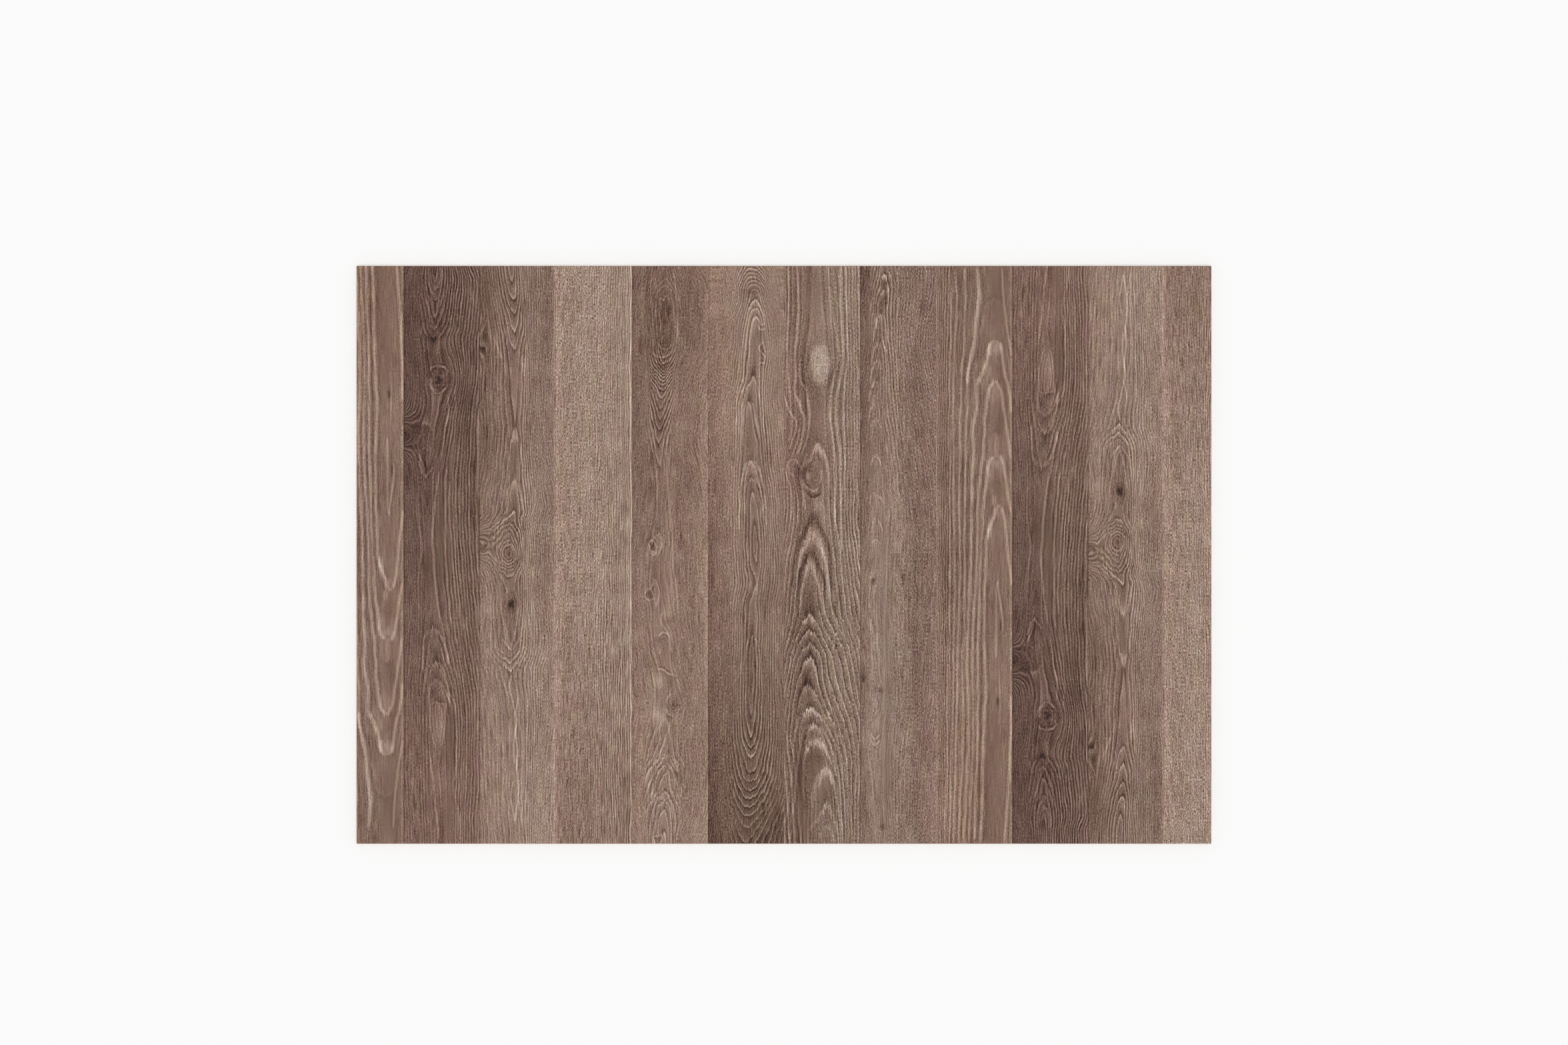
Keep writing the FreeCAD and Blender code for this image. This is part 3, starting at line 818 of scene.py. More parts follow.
            (1240, 635, 4, 16, 8), (1232, 600, 12, 16, -8), (1212, 700, 10, 30, -6), (1238, 600, 9, 60, -4),
            (1222, 704, 6, 13, -5), (1200, 708, 8, 9, -10), (1200, 1160, 6, 50, -6), (1220, 1150, 8, 26, -4),
            (1236, 1185, 7, 18, -5), (1212, 1225, 9, 20, -4), (1193, 1248, 9, 14, -8), (1254, 560, 9, 140, -4),
            (1212, 690, 12, 30, -4), (1225, 1140, 12, 20, -6), (1237, 1195, 9, 20, -7), (1199, 1140, 6, 40, -6),
            (1246, 610, 6, 60, 6), (1229, 546, 16, 28, 5), (1212, 700, 8, 40, -5), (1190, 460, 9, 60, -3),
            (1233, 800, 8, 50, -3), (1212, 960, 9, 100, -4), (1276, 1180, 11, 70, -5), (1233, 1050, 10, 40, -3),
            (1254, 520, 9, 100, -3), (1190, 500, 9, 110, -3), (1190, 690, 9, 50, 3), (1212, 690, 8, 50, -5),
            (1212, 830, 8, 50, 5), (1233, 700, 8, 40, -3), (1255, 690, 9, 60, -6), (1255, 800, 9, 60, -3),
            (1233, 930, 8, 60, -3), (1212, 1000, 9, 80, -5), (1233, 1060, 9, 50, -3), (1255, 1190, 9, 60, -5),
            (1276, 560, 9, 60, -3), (1233, 560, 10, 60, -3), (1212, 500, 9, 90, 3), (1212, 690, 8, 50, -4),
            (1212, 810, 8, 50, 4), (1255, 690, 9, 60, -3), (1212, 1060, 9, 60, -4), (1212, 540, 4, 20, -10),
            (1245, 566, 5, 14, -10), (1216, 868, 9, 24, -6),
        ],
        "tufts": [
            (1229.6, 548, 16.5, 29, 40), (1226, 542, 8, 16, 8), (1213.5, 713, 3.5, 7, 20), (1219, 1200, 5, 10, 14),
            (1227, 757, 9, 12, 8),
        ],
        "arches": [
            (1227, 671, 10, 13, 6, 30), (1224, 681, 8, 14, 3.5, -30), (1220, 782, 17, 26, 8, -34),
            (1219, 802, 14, 24, 9, 38), (1216, 832, 16, 28, 7, -36), (1215, 846, 12, 30, 9, 34),
            (1224, 1109, 12, 12, 6, 58), (1226, 1120, 10, 12, 6, -7), (1239, 1156, 9, 14, 6, 58),
            (1240, 1206, 6, 14, 4, 36), (1241, 1240, 6, 12, 3.5, 30), (1220, 1087, 10, 10, 3, 26),
            (1215, 1068, 10, 9, 4, 28), (1221, 743, 9, -8, 3, -24), (1223, 690, 6, 14, 3, 18),
        ],
        "paths": [
            (
                1.72, 30, (399, 1195), (453, 1198), (510, 1194.6), (520, 1193), (549, 1193), (563, 1194), (580, 1192),
                (591, 1192.4), (603, 1199), (617, 1202.4), (626, 1206.7), (641, 1206.7), (651, 1205), (669, 1201),
                (683, 1196)),
            (
                1.49, 24, (534, 1201), (556, 1199.6), (574, 1201.7), (583, 1208), (600, 1211), (617, 1214),
                (629, 1214.6), (649, 1212.4), (664, 1209.6), (683, 1201.7)),
            (
                1.26, 27, (590, 1176), (603, 1180), (620, 1186), (633, 1195), (646, 1194.6), (660, 1189), (670, 1186),
                (676, 1179)),
            (1.26, 22, (540, 1181), (580, 1184), (610, 1186), (630, 1189), (650, 1188), (664, 1181)),
            (1.26, 22, (399, 1181), (440, 1183), (500, 1180), (530, 1180)),
            (1.26, 22, (640, 1200.5), (660, 1197), (680, 1190), (690, 1186)),
            (
                1.61, 18, (427, 1244.6), (463, 1247.4), (520, 1257.4), (534, 1258), (551, 1256), (574, 1250),
                (597, 1246.7), (620, 1246), (641, 1248), (670, 1251), (706, 1254), (750, 1253), (800, 1252)),
            (
                1.84, 24, (399, 1260), (456, 1260), (500, 1263), (534, 1265), (553, 1263), (577, 1259), (600, 1255),
                (623, 1254), (649, 1256), (674, 1259), (706, 1260.6), (777, 1261.7), (830, 1261)),
            (
                1.26, 22, (399, 1268), (500, 1271), (534, 1272), (570, 1268), (623, 1265), (700, 1267), (777, 1269)),
            (1.26, 22, (700, 1176), (716, 1180), (735, 1186), (760, 1188), (780, 1184)),
            (1.26, 22, (706, 1188), (730, 1193), (760, 1197), (790, 1196)),
            (1.38, 19, (716, 1203), (740, 1206), (770, 1208)), (1.4, 18, (1236, 1203), (1250, 1202.5), (1265, 1202)),
            (2.4, -16, (800, 1201), (820, 1196), (850, 1191), (885, 1188)),
            (2.4, -14, (802, 1238), (825, 1243), (855, 1246), (890, 1248)),
            (2.2, 18, (818, 1206), (836, 1200), (856, 1196), (900, 1192)),
            (2.2, 16, (818, 1232), (840, 1237), (860, 1240), (900, 1243)),
            (1.8, -14, (850, 1201), (872, 1198), (905, 1195)), (1.8, -14, (852, 1232), (875, 1236), (905, 1239)),
            (1.6, 14, (868, 1206), (890, 1202), (912, 1200)), (1.6, 14, (868, 1226), (890, 1231), (912, 1234)),
        ],
        "legs": [
            (2, 16, (674, 1217), (680, 1212), (690, 1208), (700, 1206)),
            (2, 20, (673, 1233), (680, 1237), (692, 1240), (712, 1243), (735, 1244)),
            (1.5, 22, (690, 1190), (694, 1183), (700, 1181), (706, 1184)),
            (1.5, 22, (690, 1191), (694, 1196), (700, 1201), (706, 1205)),
            (1.3, 18, (685, 1223), (690, 1228), (697, 1231), (706, 1232.5), (718, 1232), (728, 1229)),
            (1.3, 18, (685, 1222), (689, 1216), (693, 1212), (700, 1209)),
            (
                1.5, 18, (1067, 1213), (1074, 1202), (1085, 1197), (1110, 1191), (1160, 1188), (1200, 1184),
                (1225, 1180), (1240, 1176)),
            (
                1.5, 18, (1067, 1216), (1073, 1229), (1090, 1240), (1110, 1250), (1130, 1258), (1150, 1262),
                (1180, 1266), (1210, 1268), (1266, 1270)),
            (
                1.5, 20, (1087, 1218), (1092, 1208), (1099, 1204), (1120, 1200), (1140, 1197), (1160, 1194),
                (1180, 1193), (1200, 1192), (1220, 1189), (1236, 1186)),
            (
                1.5, 20, (1087, 1221), (1093, 1232), (1105, 1240), (1125, 1248), (1145, 1254), (1160, 1257),
                (1190, 1260), (1220, 1262), (1266, 1264)),
            (1.6, 16, (1112, 1218), (1120, 1212), (1135, 1207.5), (1155, 1205), (1180, 1205), (1202, 1207)),
            (2.2, 16, (1112, 1230), (1120, 1237), (1138, 1246), (1152, 1252), (1168, 1255)),
            (2.2, 18, (1158, 1231), (1166, 1226), (1176, 1222), (1192, 1220)),
            (
                1.6, 18, (1158, 1246), (1168, 1250), (1180, 1253), (1200, 1256), (1215, 1258), (1240, 1261),
                (1266, 1262)),
            (1.5, 18, (1206, 1238), (1215, 1234), (1228, 1228), (1240, 1218), (1252, 1209)),
            (1.5, 18, (1206, 1242), (1211, 1245), (1225, 1250), (1240, 1255), (1266, 1258)),
            (1.4, 16, (1240, 1239), (1246, 1233), (1258, 1230)), (1.4, 16, (1240, 1243), (1248, 1249), (1264, 1252)),
            (
                1.2, 14, (1068, 1232), (1080, 1241), (1100, 1251), (1130, 1262), (1160, 1268), (1200, 1272),
                (1266, 1275)),
            (1.2, 14, (1066, 1240), (1090, 1252), (1130, 1267), (1170, 1272), (1266, 1280)),
        ],
        "vees": [(1.4, 16, (1246, 1190), (1252, 1186.5), (1264, 1185))],
        "sweeps": [
            (2, 26, (1203, 722), (1211, 732), (1221, 737), (1230, 731)),
            (1.6, -28, (1210, 740), (1220, 746), (1231, 740)), (1.2, 20, (1180, 708), (1186, 711), (1189, 714)),
        ],
    },
    8: {
        "mid": 1317,
        "thick": 1.5,
        "grain": 1.1,
        "tone": 134,
        "hue": (0.8, 0),
        "axis": [
            (399, 1328), (411, 1328), (433, 1326), (472, 1321), (538, 1320), (605, 1314), (682, 1314), (778, 1315),
            (872, 1310), (1037, 1319), (1115, 1312), (1243, 1318), (1266, 1318),
        ],
        "phase": [
            (399, 12.6), (411, 12), (433, 11), (470, 10), (513, 9), (538, 8), (572, 7), (605, 6), (629, 5), (647, 4),
            (682, 3), (710, 2.3), (741, 2), (778, 1.4), (786, 1), (820, 0.7), (900, 0.6), (1000, 0.8), (1080, 0.6),
            (1109, 1), (1119, 2), (1160, 2.6), (1220, 2.4), (1266, 3),
        ],
        "side": [
            (-40, 17), (-30, 14), (-21, 11.5), (-17, 10), (-13, 8.5), (-10, 7), (-7, 5), (-4, 3), (0, 0), (4, 3),
            (8, 5), (12, 7), (16, 8.2), (19.5, 9.2), (23, 10.2), (26.5, 11.2), (30, 12.2), (60, 20), (95, 30),
        ],
        "spread": [(399, 0.8), (440, 0.85), (520, 1), (620, 0.8), (790, 0.6), (1266, 0.8)],
        "loose": [(399, 1), (520, 0.9), (780, 0.8), (1266, 0.8)],
        "push": [
            (1309, 872, 8, 14, 1309, 0.6), (1295.6, 1018, 6, 12, 1295.6, 0.5), (1321, 1037, 8, 12, 1321, 0.6),
            (1324, 1243, 7, 11, 1324, 0.5),
        ],
        "knots": [
            (1309, 872, 5, 8, "swirl", 0.3), (1320.7, 1036.6, 6, 8, "swirl", 0.3), (1324.5, 1243, 6, 8, "swirl", 0.3),
            (1296, 1018, 5, 8, "swirl", 0.3),
        ],
        "down": [(399, -5), (560, -3), (780, 1), (1020, 3), (1266, 2)],
        "across": [(1290, -12), (1301, -8), (1308, 2), (1332, 6), (1352, 0), (1376, -7), (1392, -3), (1404, 1)],
        "hue_x": [
            (1290, -0.6, 0.8), (1305, 0, 0.2), (1322, 0.4, 0.4), (1345, 0.8, 0), (1375, -0.6, 0.2), (1404, -1.6, 0),
        ],
        "hue_y": [(399, -0.6, 0), (760, -0.4, 0), (850, 0.6, 0), (1000, 0.8, 1), (1266, 0.7, 1.2)],
        "bold_x": [(1290, 0.262), (1304, 0.375), (1310, 0.9), (1330, 1), (1345, 0.9), (1353, 0.4), (1404, 0.3)],
        "bold_y": [(399, 1.3), (470, 1.15), (560, 0.95), (640, 0.8), (760, 0.6), (1266, 0.5)],
        "calm": [
            (1320, 1160, 9, 40, 0.8), (1345, 900, 16, 200, 0.5), (1315, 640, 9, 130, 0.7), (1335, 1010, 8, 250, 0.55),
        ],
        "fleck_x": [(1290, 1.15), (1310, 0.977), (1335, 1.15), (1352, 1.61), (1404, 1.61)],
        "edge": [(1290.8, 1.1, -18), (1403.6, 0.8, 0)],
        "sharp": [(399, 1.95), (560, 1.85), (760, 1.8), (1266, 1.8)],
        "smooth": [
            (1330, 1160, 8, 60, 0.7), (1327, 950, 7, 120, 0.3), (1318, 800, 8, 40, 0.3), (1329, 1010, 9, 230, 0.3),
        ],
        "fleck_y": [(399, 1), (1266, 1)],
        "fibre_y": [(399, 1), (1266, 1)],
        "fine": 0.88,
        "tints": [
            (1328, 1010, 11, 230, 1, 1.4), (1326, 560, 12, 120, -0.9, -0.6), (1368, 1150, 14, 110, -0.1, -1.8),
            (1392, 1110, 13, 150, -1.8, -2.2), (1302, 1040, 8, 60, 0, -1.2), (1368, 900, 12, 50, 0, -1.6),
            (1325, 690, 8, 50, -0.9, -0.9), (1304, 450, 8, 60, -0.4, 0.4), (1347, 1190, 8, 60, -1, -1),
            (1390, 1190, 9, 60, -0.9, -1.2), (1347, 930, 8, 60, -0.4, 0.6),
        ],
        "marks": [
            (1293, 620, 6, 150, -7), (1340, 760, 14, 80, 7), (1380, 950, 16, 140, -5), (1326, 424, 8, 5, -22),
            (1326, 452, 7, 9, -14), (1321, 495, 5, 12, -12), (1320, 528, 5, 8, -12), (1309, 872, 4, 6, -20),
            (1355, 867, 5, 8, -22), (1296, 1018, 4, 6, -18), (1320.7, 1036, 4, 6, -18), (1324.5, 1243, 4, 6, -18),
            (1320, 1160, 8, 38, 5), (1313, 1053, 4, 6, 10), (1315, 560, 5, 8, -10), (1352, 440, 3, 60, -8),
            (1372, 1000, 4, 200, -5), (1300, 430, 12, 50, -9), (1302, 1050, 12, 180, 8), (1326, 430, 8, 40, -6),
            (1368, 480, 16, 80, 7), (1326, 1190, 8, 60, -5), (1345, 560, 9, 50, 4), (1315, 450, 20, 90, -5),
            (1329, 1130, 8, 130, -5), (1309, 872, 4, 6, -20), (1313, 878, 2, 3, 18), (1296, 1017, 2.5, 6, -20),
            (1320.7, 1036, 6, 4, -14), (1317, 1041, 5, 2, 14), (1324, 1240, 6, 4, -14), (1322, 1247, 7, 2, 14),
            (1370, 1180, 10, 80, 5), (1312, 1040, 3, 8, -8), (1318, 455, 6, 10, -10), (1328, 418, 6, 8, -8),
            (1329, 1010, 8, 230, -3), (1326, 690, 9, 50, -4), (1304, 570, 8, 60, -3), (1390, 920, 10, 50, -4),
            (1304, 820, 8, 60, 3), (1325, 450, 9, 60, -2), (1325, 690, 8, 50, -3), (1347, 820, 8, 50, 3),
            (1325, 930, 8, 60, 2), (1304, 1190, 8, 60, 3), (1347, 1190, 8, 60, -3), (1390, 920, 9, 60, -3),
            (1390, 450, 8, 60, 2), (1369, 520, 10, 110, 2), (1304, 880, 8, 120, 3), (1347, 820, 8, 50, 2),
        ],
        "tufts": [(1328, 414, 10, 9, 16), (1327, 436, 8, 8, 14)],
        "arches": [],
        "paths": [
            (1.8, 10, (760, 1333), (860, 1329), (960, 1327), (1080, 1325), (1250, 1326)),
            (1, 14, (1122, 1301), (1140, 1304), (1160, 1307), (1200, 1309)),
            (1, 18, (860, 1307), (900, 1304), (940, 1306), (1000, 1308)),
            (1, 16, (900, 1314), (960, 1316), (1010, 1320), (1030, 1322)),
            (1, 16, (1050, 1310), (1080, 1308), (1100, 1309)),
            (1.2, 12, (399, 1347), (500, 1345), (620, 1347), (760, 1346)),
            (1, 14, (399, 1357), (520, 1356), (700, 1357)),
        ],
        "legs": [
            (1.2, 27, (470, 1321), (476, 1317), (490, 1313), (515, 1309)),
            (1.2, 27, (470, 1322), (476, 1326), (490, 1329), (515, 1332)),
            (1.2, 30, (513, 1320), (519, 1314), (530, 1310), (550, 1307)),
            (1.2, 27, (513, 1321), (519, 1326), (532, 1330)),
            (1.2, 30, (540, 1318), (546, 1312), (558, 1308), (575, 1305)),
            (1.1, 27, (572, 1315), (577, 1310), (588, 1306), (604, 1303)),
            (1.1, 27, (604, 1314), (608, 1310), (618, 1306), (630, 1304)),
            (1.1, 30, (630, 1314), (634, 1310), (642, 1306)), (1.1, 30, (630, 1315), (634, 1319), (642, 1323)),
            (1.1, 30, (682, 1314), (688, 1310), (700, 1306)), (1.1, 30, (682, 1315), (688, 1319), (700, 1322)),
            (1.1, 30, (741, 1313), (745, 1307), (755, 1303)), (1.1, 30, (741, 1314), (745, 1320), (755, 1325)),
            (1.1, 27, (780, 1314), (785, 1309), (800, 1306)), (1.1, 27, (780, 1315), (785, 1320), (800, 1323)),
        ],
        "vees": [],
        "sweeps": [
            (1.1, 24, (1306, 1100), (1312, 1109), (1320, 1102)), (1.1, 22, (1306, 1110), (1312, 1118), (1321, 1110)),
            (1, 20, (1307, 815), (1314, 810), (1322, 818)),
        ],
    },
    9: {
        "mid": 1495,
        "thick": 1.4,
        "grain": 1.05,
        "tone": 134.5,
        "hue": (-0.2, -2.4),
        "axis": [
            (399, 1494), (515, 1493), (571, 1495), (651, 1495), (691, 1494), (763, 1499), (868, 1499), (940, 1501),
            (1052, 1497), (1266, 1493),
        ],
        "phase": [
            (399, 7.7), (515.6, 6), (571, 5), (651.4, 4), (690.8, 3), (763.5, 2), (840, 1.5), (900, 1.25),
            (1266, 1.15),
        ],
        "side": [
            (-90, 16.5), (-80, 13.2), (-72, 11), (-62, 8.8), (-53, 7.2), (-43, 6), (-34, 5), (-30, 4), (-25, 3),
            (-19, 2), (-12, 0.9), (0, 0), (8, 0.9), (13, 2), (16, 3), (18, 4), (20, 5), (24, 6.4),
        ],
        "loose": [(399, 0.9), (1266, 0.9)],
        "push": [],
        "knots": [],
        "down": [(399, -6), (520, -1), (620, 2), (860, -1), (1080, 3), (1266, 1)],
        "across": [(1404, 4), (1412, -4), (1425, -5), (1440, -4), (1461, -3), (1475, -4), (1490, -3), (1518, -2)],
        "hue_x": [(1404, -1.2, -0.4), (1430, 0, 0), (1460, 0.4, -0.2), (1490, 0, 0.4), (1518, 0, 0)],
        "hue_y": [(399, 0.4, 0.8), (900, 0.4, 0.8), (1060, -0.6, -0.8), (1266, -1.2, -1.4)],
        "bold_x": [(1404, 0.76), (1424, 0.64), (1434, 0.3), (1460, 0.3), (1480, 0.15), (1518, 0.15)],
        "bold_y": [(399, 1), (1266, 0.9)],
        "calm": [(1497, 1150, 14, 150, 0.6)],
        "fleck_x": [(1404, 1.15), (1428, 1), (1442, 0.75), (1470, 0.7), (1486, 0.5), (1508, 0.5), (1518, 0.9)],
        "edge": [(1405.5, 1.2, 12), (1516.2, 1.2, 24)],
        "sharp": [(399, 2), (1266, 2)],
        "smooth": [(1500, 620, 14, 300, 0.5), (1492, 1150, 12, 120, 0.6), (1497, 440, 12, 60, 0.6)],
        "fleck_y": [(399, 0.95), (820, 0.95), (920, 1.2), (1266, 1.2)],
        "fibre_y": [(399, 1), (1266, 1)],
        "fine": 1,
        "tints": [
            (1440, 790, 14, 160, 0.2, 1.4), (1505, 700, 12, 160, -1.2, -1.4), (1420, 560, 12, 100, -1, -0.8),
            (1440, 1130, 12, 120, -0.3, -1.3), (1461, 1180, 12, 70, -1.2, -1), (1461, 1050, 12, 40, 0.9, 0.2),
            (1483, 520, 10, 90, 0.3, -1), (1418, 560, 9, 60, -0.8, -1), (1505, 560, 9, 60, -1, -1.5),
            (1461, 560, 9, 60, -0.5, 0.2), (1505, 800, 8, 50, -0.9, -1.3), (1418, 930, 9, 60, -0.9, -0.9),
            (1492, 523, 12, 11, 2, 3), (1466, 450, 6, 60, 2, 3), (1484, 700, 14, 14, 1.5, 2.5),
            (1484, 796, 6, 18, 1.5, 2.5), (1458, 540, 6, 30, 1.5, 2.5),
        ],
        "marks": [
            (1420, 874, 7, 64, -16), (1423, 1227, 10, 40, 6), (1480, 1181, 5, 40, -10), (1484, 480, 12, 34, -6),
            (1493, 552, 9, 9, -10), (1495, 625, 9, 20, -6), (1497, 728, 8, 16, -10), (1479, 552, 5.5, 11, 30),
            (1470, 571, 6, 6, 22), (1484, 704, 4.5, 16, 22), (1484, 796, 4.5, 16, 26), (1500, 830, 8, 26, -6),
            (1501.4, 939.5, 2, 13, -60), (1496.8, 1052, 2.2, 8, -60), (1493, 975, 4, 22, 12), (1472, 560, 5, 10, -8),
            (1481, 640, 5, 40, -6), (1501, 560, 5, 22, -8), (1502, 660, 4, 26, -8), (1483, 480, 10, 80, 7),
            (1483, 1170, 12, 90, -8), (1506, 780, 10, 90, 6), (1461, 1200, 12, 70, -5), (1440, 1040, 12, 40, 7),
            (1414, 690, 8, 60, -6), (1483, 1000, 10, 220, -4), (1498, 980, 10, 90, 3), (1483, 560, 9, 140, 4),
            (1440, 850, 9, 80, -5), (1440, 1060, 9, 50, 6), (1418, 740, 8, 90, -4), (1418, 1190, 9, 60, 4),
            (1505, 760, 9, 100, 3), (1418, 930, 8, 50, 4), (1440, 450, 9, 60, -4), (1418, 560, 9, 60, 3),
            (1483, 620, 9, 140, 3), (1461, 690, 9, 60, -3), (1418, 750, 9, 90, -3), (1440, 850, 9, 130, -4),
            (1440, 1120, 9, 130, 3), (1418, 1190, 9, 60, 2), (1461, 1120, 9, 130, -3), (1505, 1190, 8, 60, -3),
            (1483, 1060, 9, 60, -2), (1505, 820, 9, 130, 2), (1504, 706, 4, 14, 14), (1455, 620, 26, 180, -2),
            (1466, 445, 5, 40, 8), (1500, 935, 6, 26, 9), (1496, 1045, 7, 22, 9), (1440, 1060, 26, 200, -2),
        ],
        "tufts": [
            (1492, 523, 12, 11, 26), (1490, 590, 9, 17, 15), (1494.5, 668, 4.5, 18, 20), (1495, 692, 12, 9, 17),
            (1491.5, 752, 4, 9, 20), (1497, 768, 7, 9, 12),
        ],
        "arches": [],
        "paths": [
            (
                2.76, 26, (399, 1464), (412, 1466.5), (430, 1467), (445, 1469), (456, 1467), (475, 1464),
                (492, 1462.5), (515, 1461), (529, 1459), (545, 1454.5), (560, 1452.5), (580, 1451.5)),
            (
                1.61, 24, (540, 1455), (560, 1452.5), (580, 1451.5), (608, 1451.5), (632, 1449), (680, 1448.5),
                (724, 1448), (800, 1446.5), (860, 1446), (940, 1446), (1000, 1443), (1060, 1444), (1130, 1444),
                (1200, 1440), (1266, 1438)),
            (
                1.61, 24, (399, 1447), (445, 1448), (490, 1446), (529, 1445.5), (545, 1443.5), (562, 1442.4),
                (608, 1441), (620, 1439.5), (632, 1439), (678, 1440), (724, 1439), (800, 1440), (860, 1439),
                (1000, 1436), (1266, 1430)),
            (
                1.49, 20, (399, 1434), (457, 1435.5), (500, 1434), (527, 1433), (560, 1431), (608, 1430),
                (632, 1429.6), (700, 1430), (770, 1431), (860, 1432), (1000, 1430), (1266, 1424)),
            (
                1.26, 18, (399, 1426), (515, 1427), (600, 1425), (700, 1424.5), (860, 1425), (1000, 1423),
                (1266, 1417)),
            (1.61, 24, (399, 1502.8), (445, 1505), (490, 1510.5), (515, 1514), (536, 1517)),
            (1.61, 24, (868, 1498), (885, 1499), (905, 1501), (925, 1503.5), (940, 1504), (955, 1502)),
            (1.38, 18, (868, 1497.5), (885, 1496), (905, 1495), (940, 1495), (990, 1494)),
            (1.26, 18, (1000, 1500), (1030, 1499), (1060, 1499), (1090, 1498)),
            (2.07, 26, (1040, 1516.5), (1090, 1516), (1140, 1514), (1180, 1512.4), (1220, 1510), (1266, 1507)),
        ],
        "legs": [
            (
                2.3, 26, (511, 1492), (513, 1487), (518, 1483.5), (530, 1482.5), (537, 1481.5), (545, 1479),
                (553, 1476.5), (562, 1473), (570, 1468), (576, 1465.5), (585, 1465), (604, 1465.6), (620, 1464),
                (631, 1461.5), (650, 1460), (680, 1460), (724, 1459), (800, 1457), (866, 1455), (940, 1452),
                (1000, 1451), (1060, 1453), (1130, 1452), (1200, 1449), (1266, 1446)),
            (
                1.95, 26, (511, 1494), (513, 1498), (519, 1501.5), (540, 1504), (562, 1507.5), (576, 1511),
                (597, 1514.5), (620, 1516.5)),
            (
                2.07, 26, (571, 1493), (576, 1489), (585, 1484), (597, 1481), (615, 1479.5), (632, 1477), (655, 1476),
                (687, 1474), (697, 1471.5), (713, 1470), (748, 1468), (800, 1467), (866, 1464.5), (930, 1460),
                (1000, 1459), (1060, 1460), (1130, 1459), (1200, 1456), (1266, 1453)),
            (
                1.95, 24, (571, 1495), (580, 1498.5), (590, 1502.5), (601, 1504), (632, 1508.5), (666, 1513),
                (690, 1516.5)),
            (
                2.3, 26, (684, 1491), (689, 1486), (695, 1482.5), (705, 1480.5), (725, 1478.5), (743, 1476),
                (760, 1475), (794, 1473.5), (830, 1472), (866, 1470.5), (940, 1468), (1000, 1466), (1060, 1466.5),
                (1130, 1466), (1200, 1463), (1266, 1461)),
            (
                2.07, 24, (684, 1498), (689, 1503), (697, 1506), (706, 1507.5), (729, 1510), (752, 1513.5),
                (771, 1516)),
            (
                2.18, 29, (758, 1497), (764, 1493.5), (775, 1490), (785, 1486.5), (795, 1483.5), (805, 1481),
                (815, 1479.5), (850, 1479), (900, 1477), (940, 1476), (1000, 1477), (1040, 1478), (1100, 1476),
                (1150, 1474.5), (1200, 1474), (1266, 1470)),
            (
                1.84, 24, (758, 1499), (764, 1503), (775, 1506), (794, 1508.5), (825, 1511), (852, 1514.5),
                (880, 1516.5)),
        ],
        "vees": [],
        "sweeps": [],
    },
}

# How a line shades across itself, in half widths: pale with darker flanks.
LINE = [(-3.6, 0.0), (-2.2, -0.22), (-1.3, 0.05), (-0.5, 0.85), (0, 1.0), (0.6, 0.8), (1.4, 0.0), (2.3, -0.3), (3.6, 0.0)]
# How a knot shades from its middle (0) to its rim (1).
KNOTS = {
    "eye": [(0, -1.4), (0.12, -0.9), (0.24, 0.7), (0.34, -0.6), (0.48, 1.0), (0.6, -0.6), (0.76, 1.0), (0.9, -0.6), (1.05, 0.3), (1.2, 0.0)],
    "disc": [(0, -1.3), (0.14, -0.5), (0.28, -1.4), (0.42, -0.3), (0.54, -1.1), (0.66, 0.2), (0.8, 1.5), (0.92, 0.4), (1.06, -0.7), (1.25, 0.0)],
    "drop": [(0, -1.9), (0.22, -1.5), (0.34, -0.5), (0.44, 0.3), (0.54, -0.5), (0.64, 0.6), (0.74, -0.6), (0.84, 0.6), (0.93, -0.4), (1.02, 1.0), (1.12, -0.5), (1.25, 0.0)],
    "swirl": [(0, 0.5), (0.14, -0.9), (0.28, 0.8), (0.4, -1.0), (0.54, 0.8), (0.66, -0.9), (0.8, 0.7), (0.94, -0.4), (1.1, 0.0)],
    "loop": [(0, -1.1), (0.2, -0.8), (0.4, -0.6), (0.56, 1.4), (0.64, 1.0), (0.75, -1.7), (0.85, -0.5), (0.94, 1.0), (1.05, 0.5), (1.25, 0.0)],
}
# How a wide ring shades from its inner side (0) to its outer side (1).
SHADE = [(0, -0.55), (0.12, -0.5), (0.35, -0.15), (0.6, 0.1), (0.85, 0.45), (1.0, 0.5)]


def slope_of(points, steps):
    """Points of the slope of the smooth curve through the points."""
    xs = np.linspace(points[0][0], points[-1][0], steps)
    ys = smooth_through(points, xs)
    grad = np.abs(np.gradient(ys, xs))
    return list(zip(xs.tolist(), grad.tolist()))


# How strong the single lines are.
BOLD = 1.4


def stroke(u, v, half, points, start, end):
    """A line u(v) through the points, given as (v, u), that fades over start
    and end units at its two ends."""
    first, last = points[0][0], points[-1][0]
    near = points[0][1]
    steps = int(min(160, max(20, (last - first) / 4)))
    way = curve(v, [(a, b - near) for a, b in points], steps)
    off = u - way - near
    slopes = slope_of(points, steps + 1)
    if max(s for _, s in slopes) > 0.3:
        off = off * curve(v, [(a, (1.0 + s * s) ** -0.5) for a, s in slopes], steps)
    ends = step(v, first - 1, first + start) * step(v, last + 1, last - end)
    return curve(off * (1.0 / half), LINE, 36) * ends


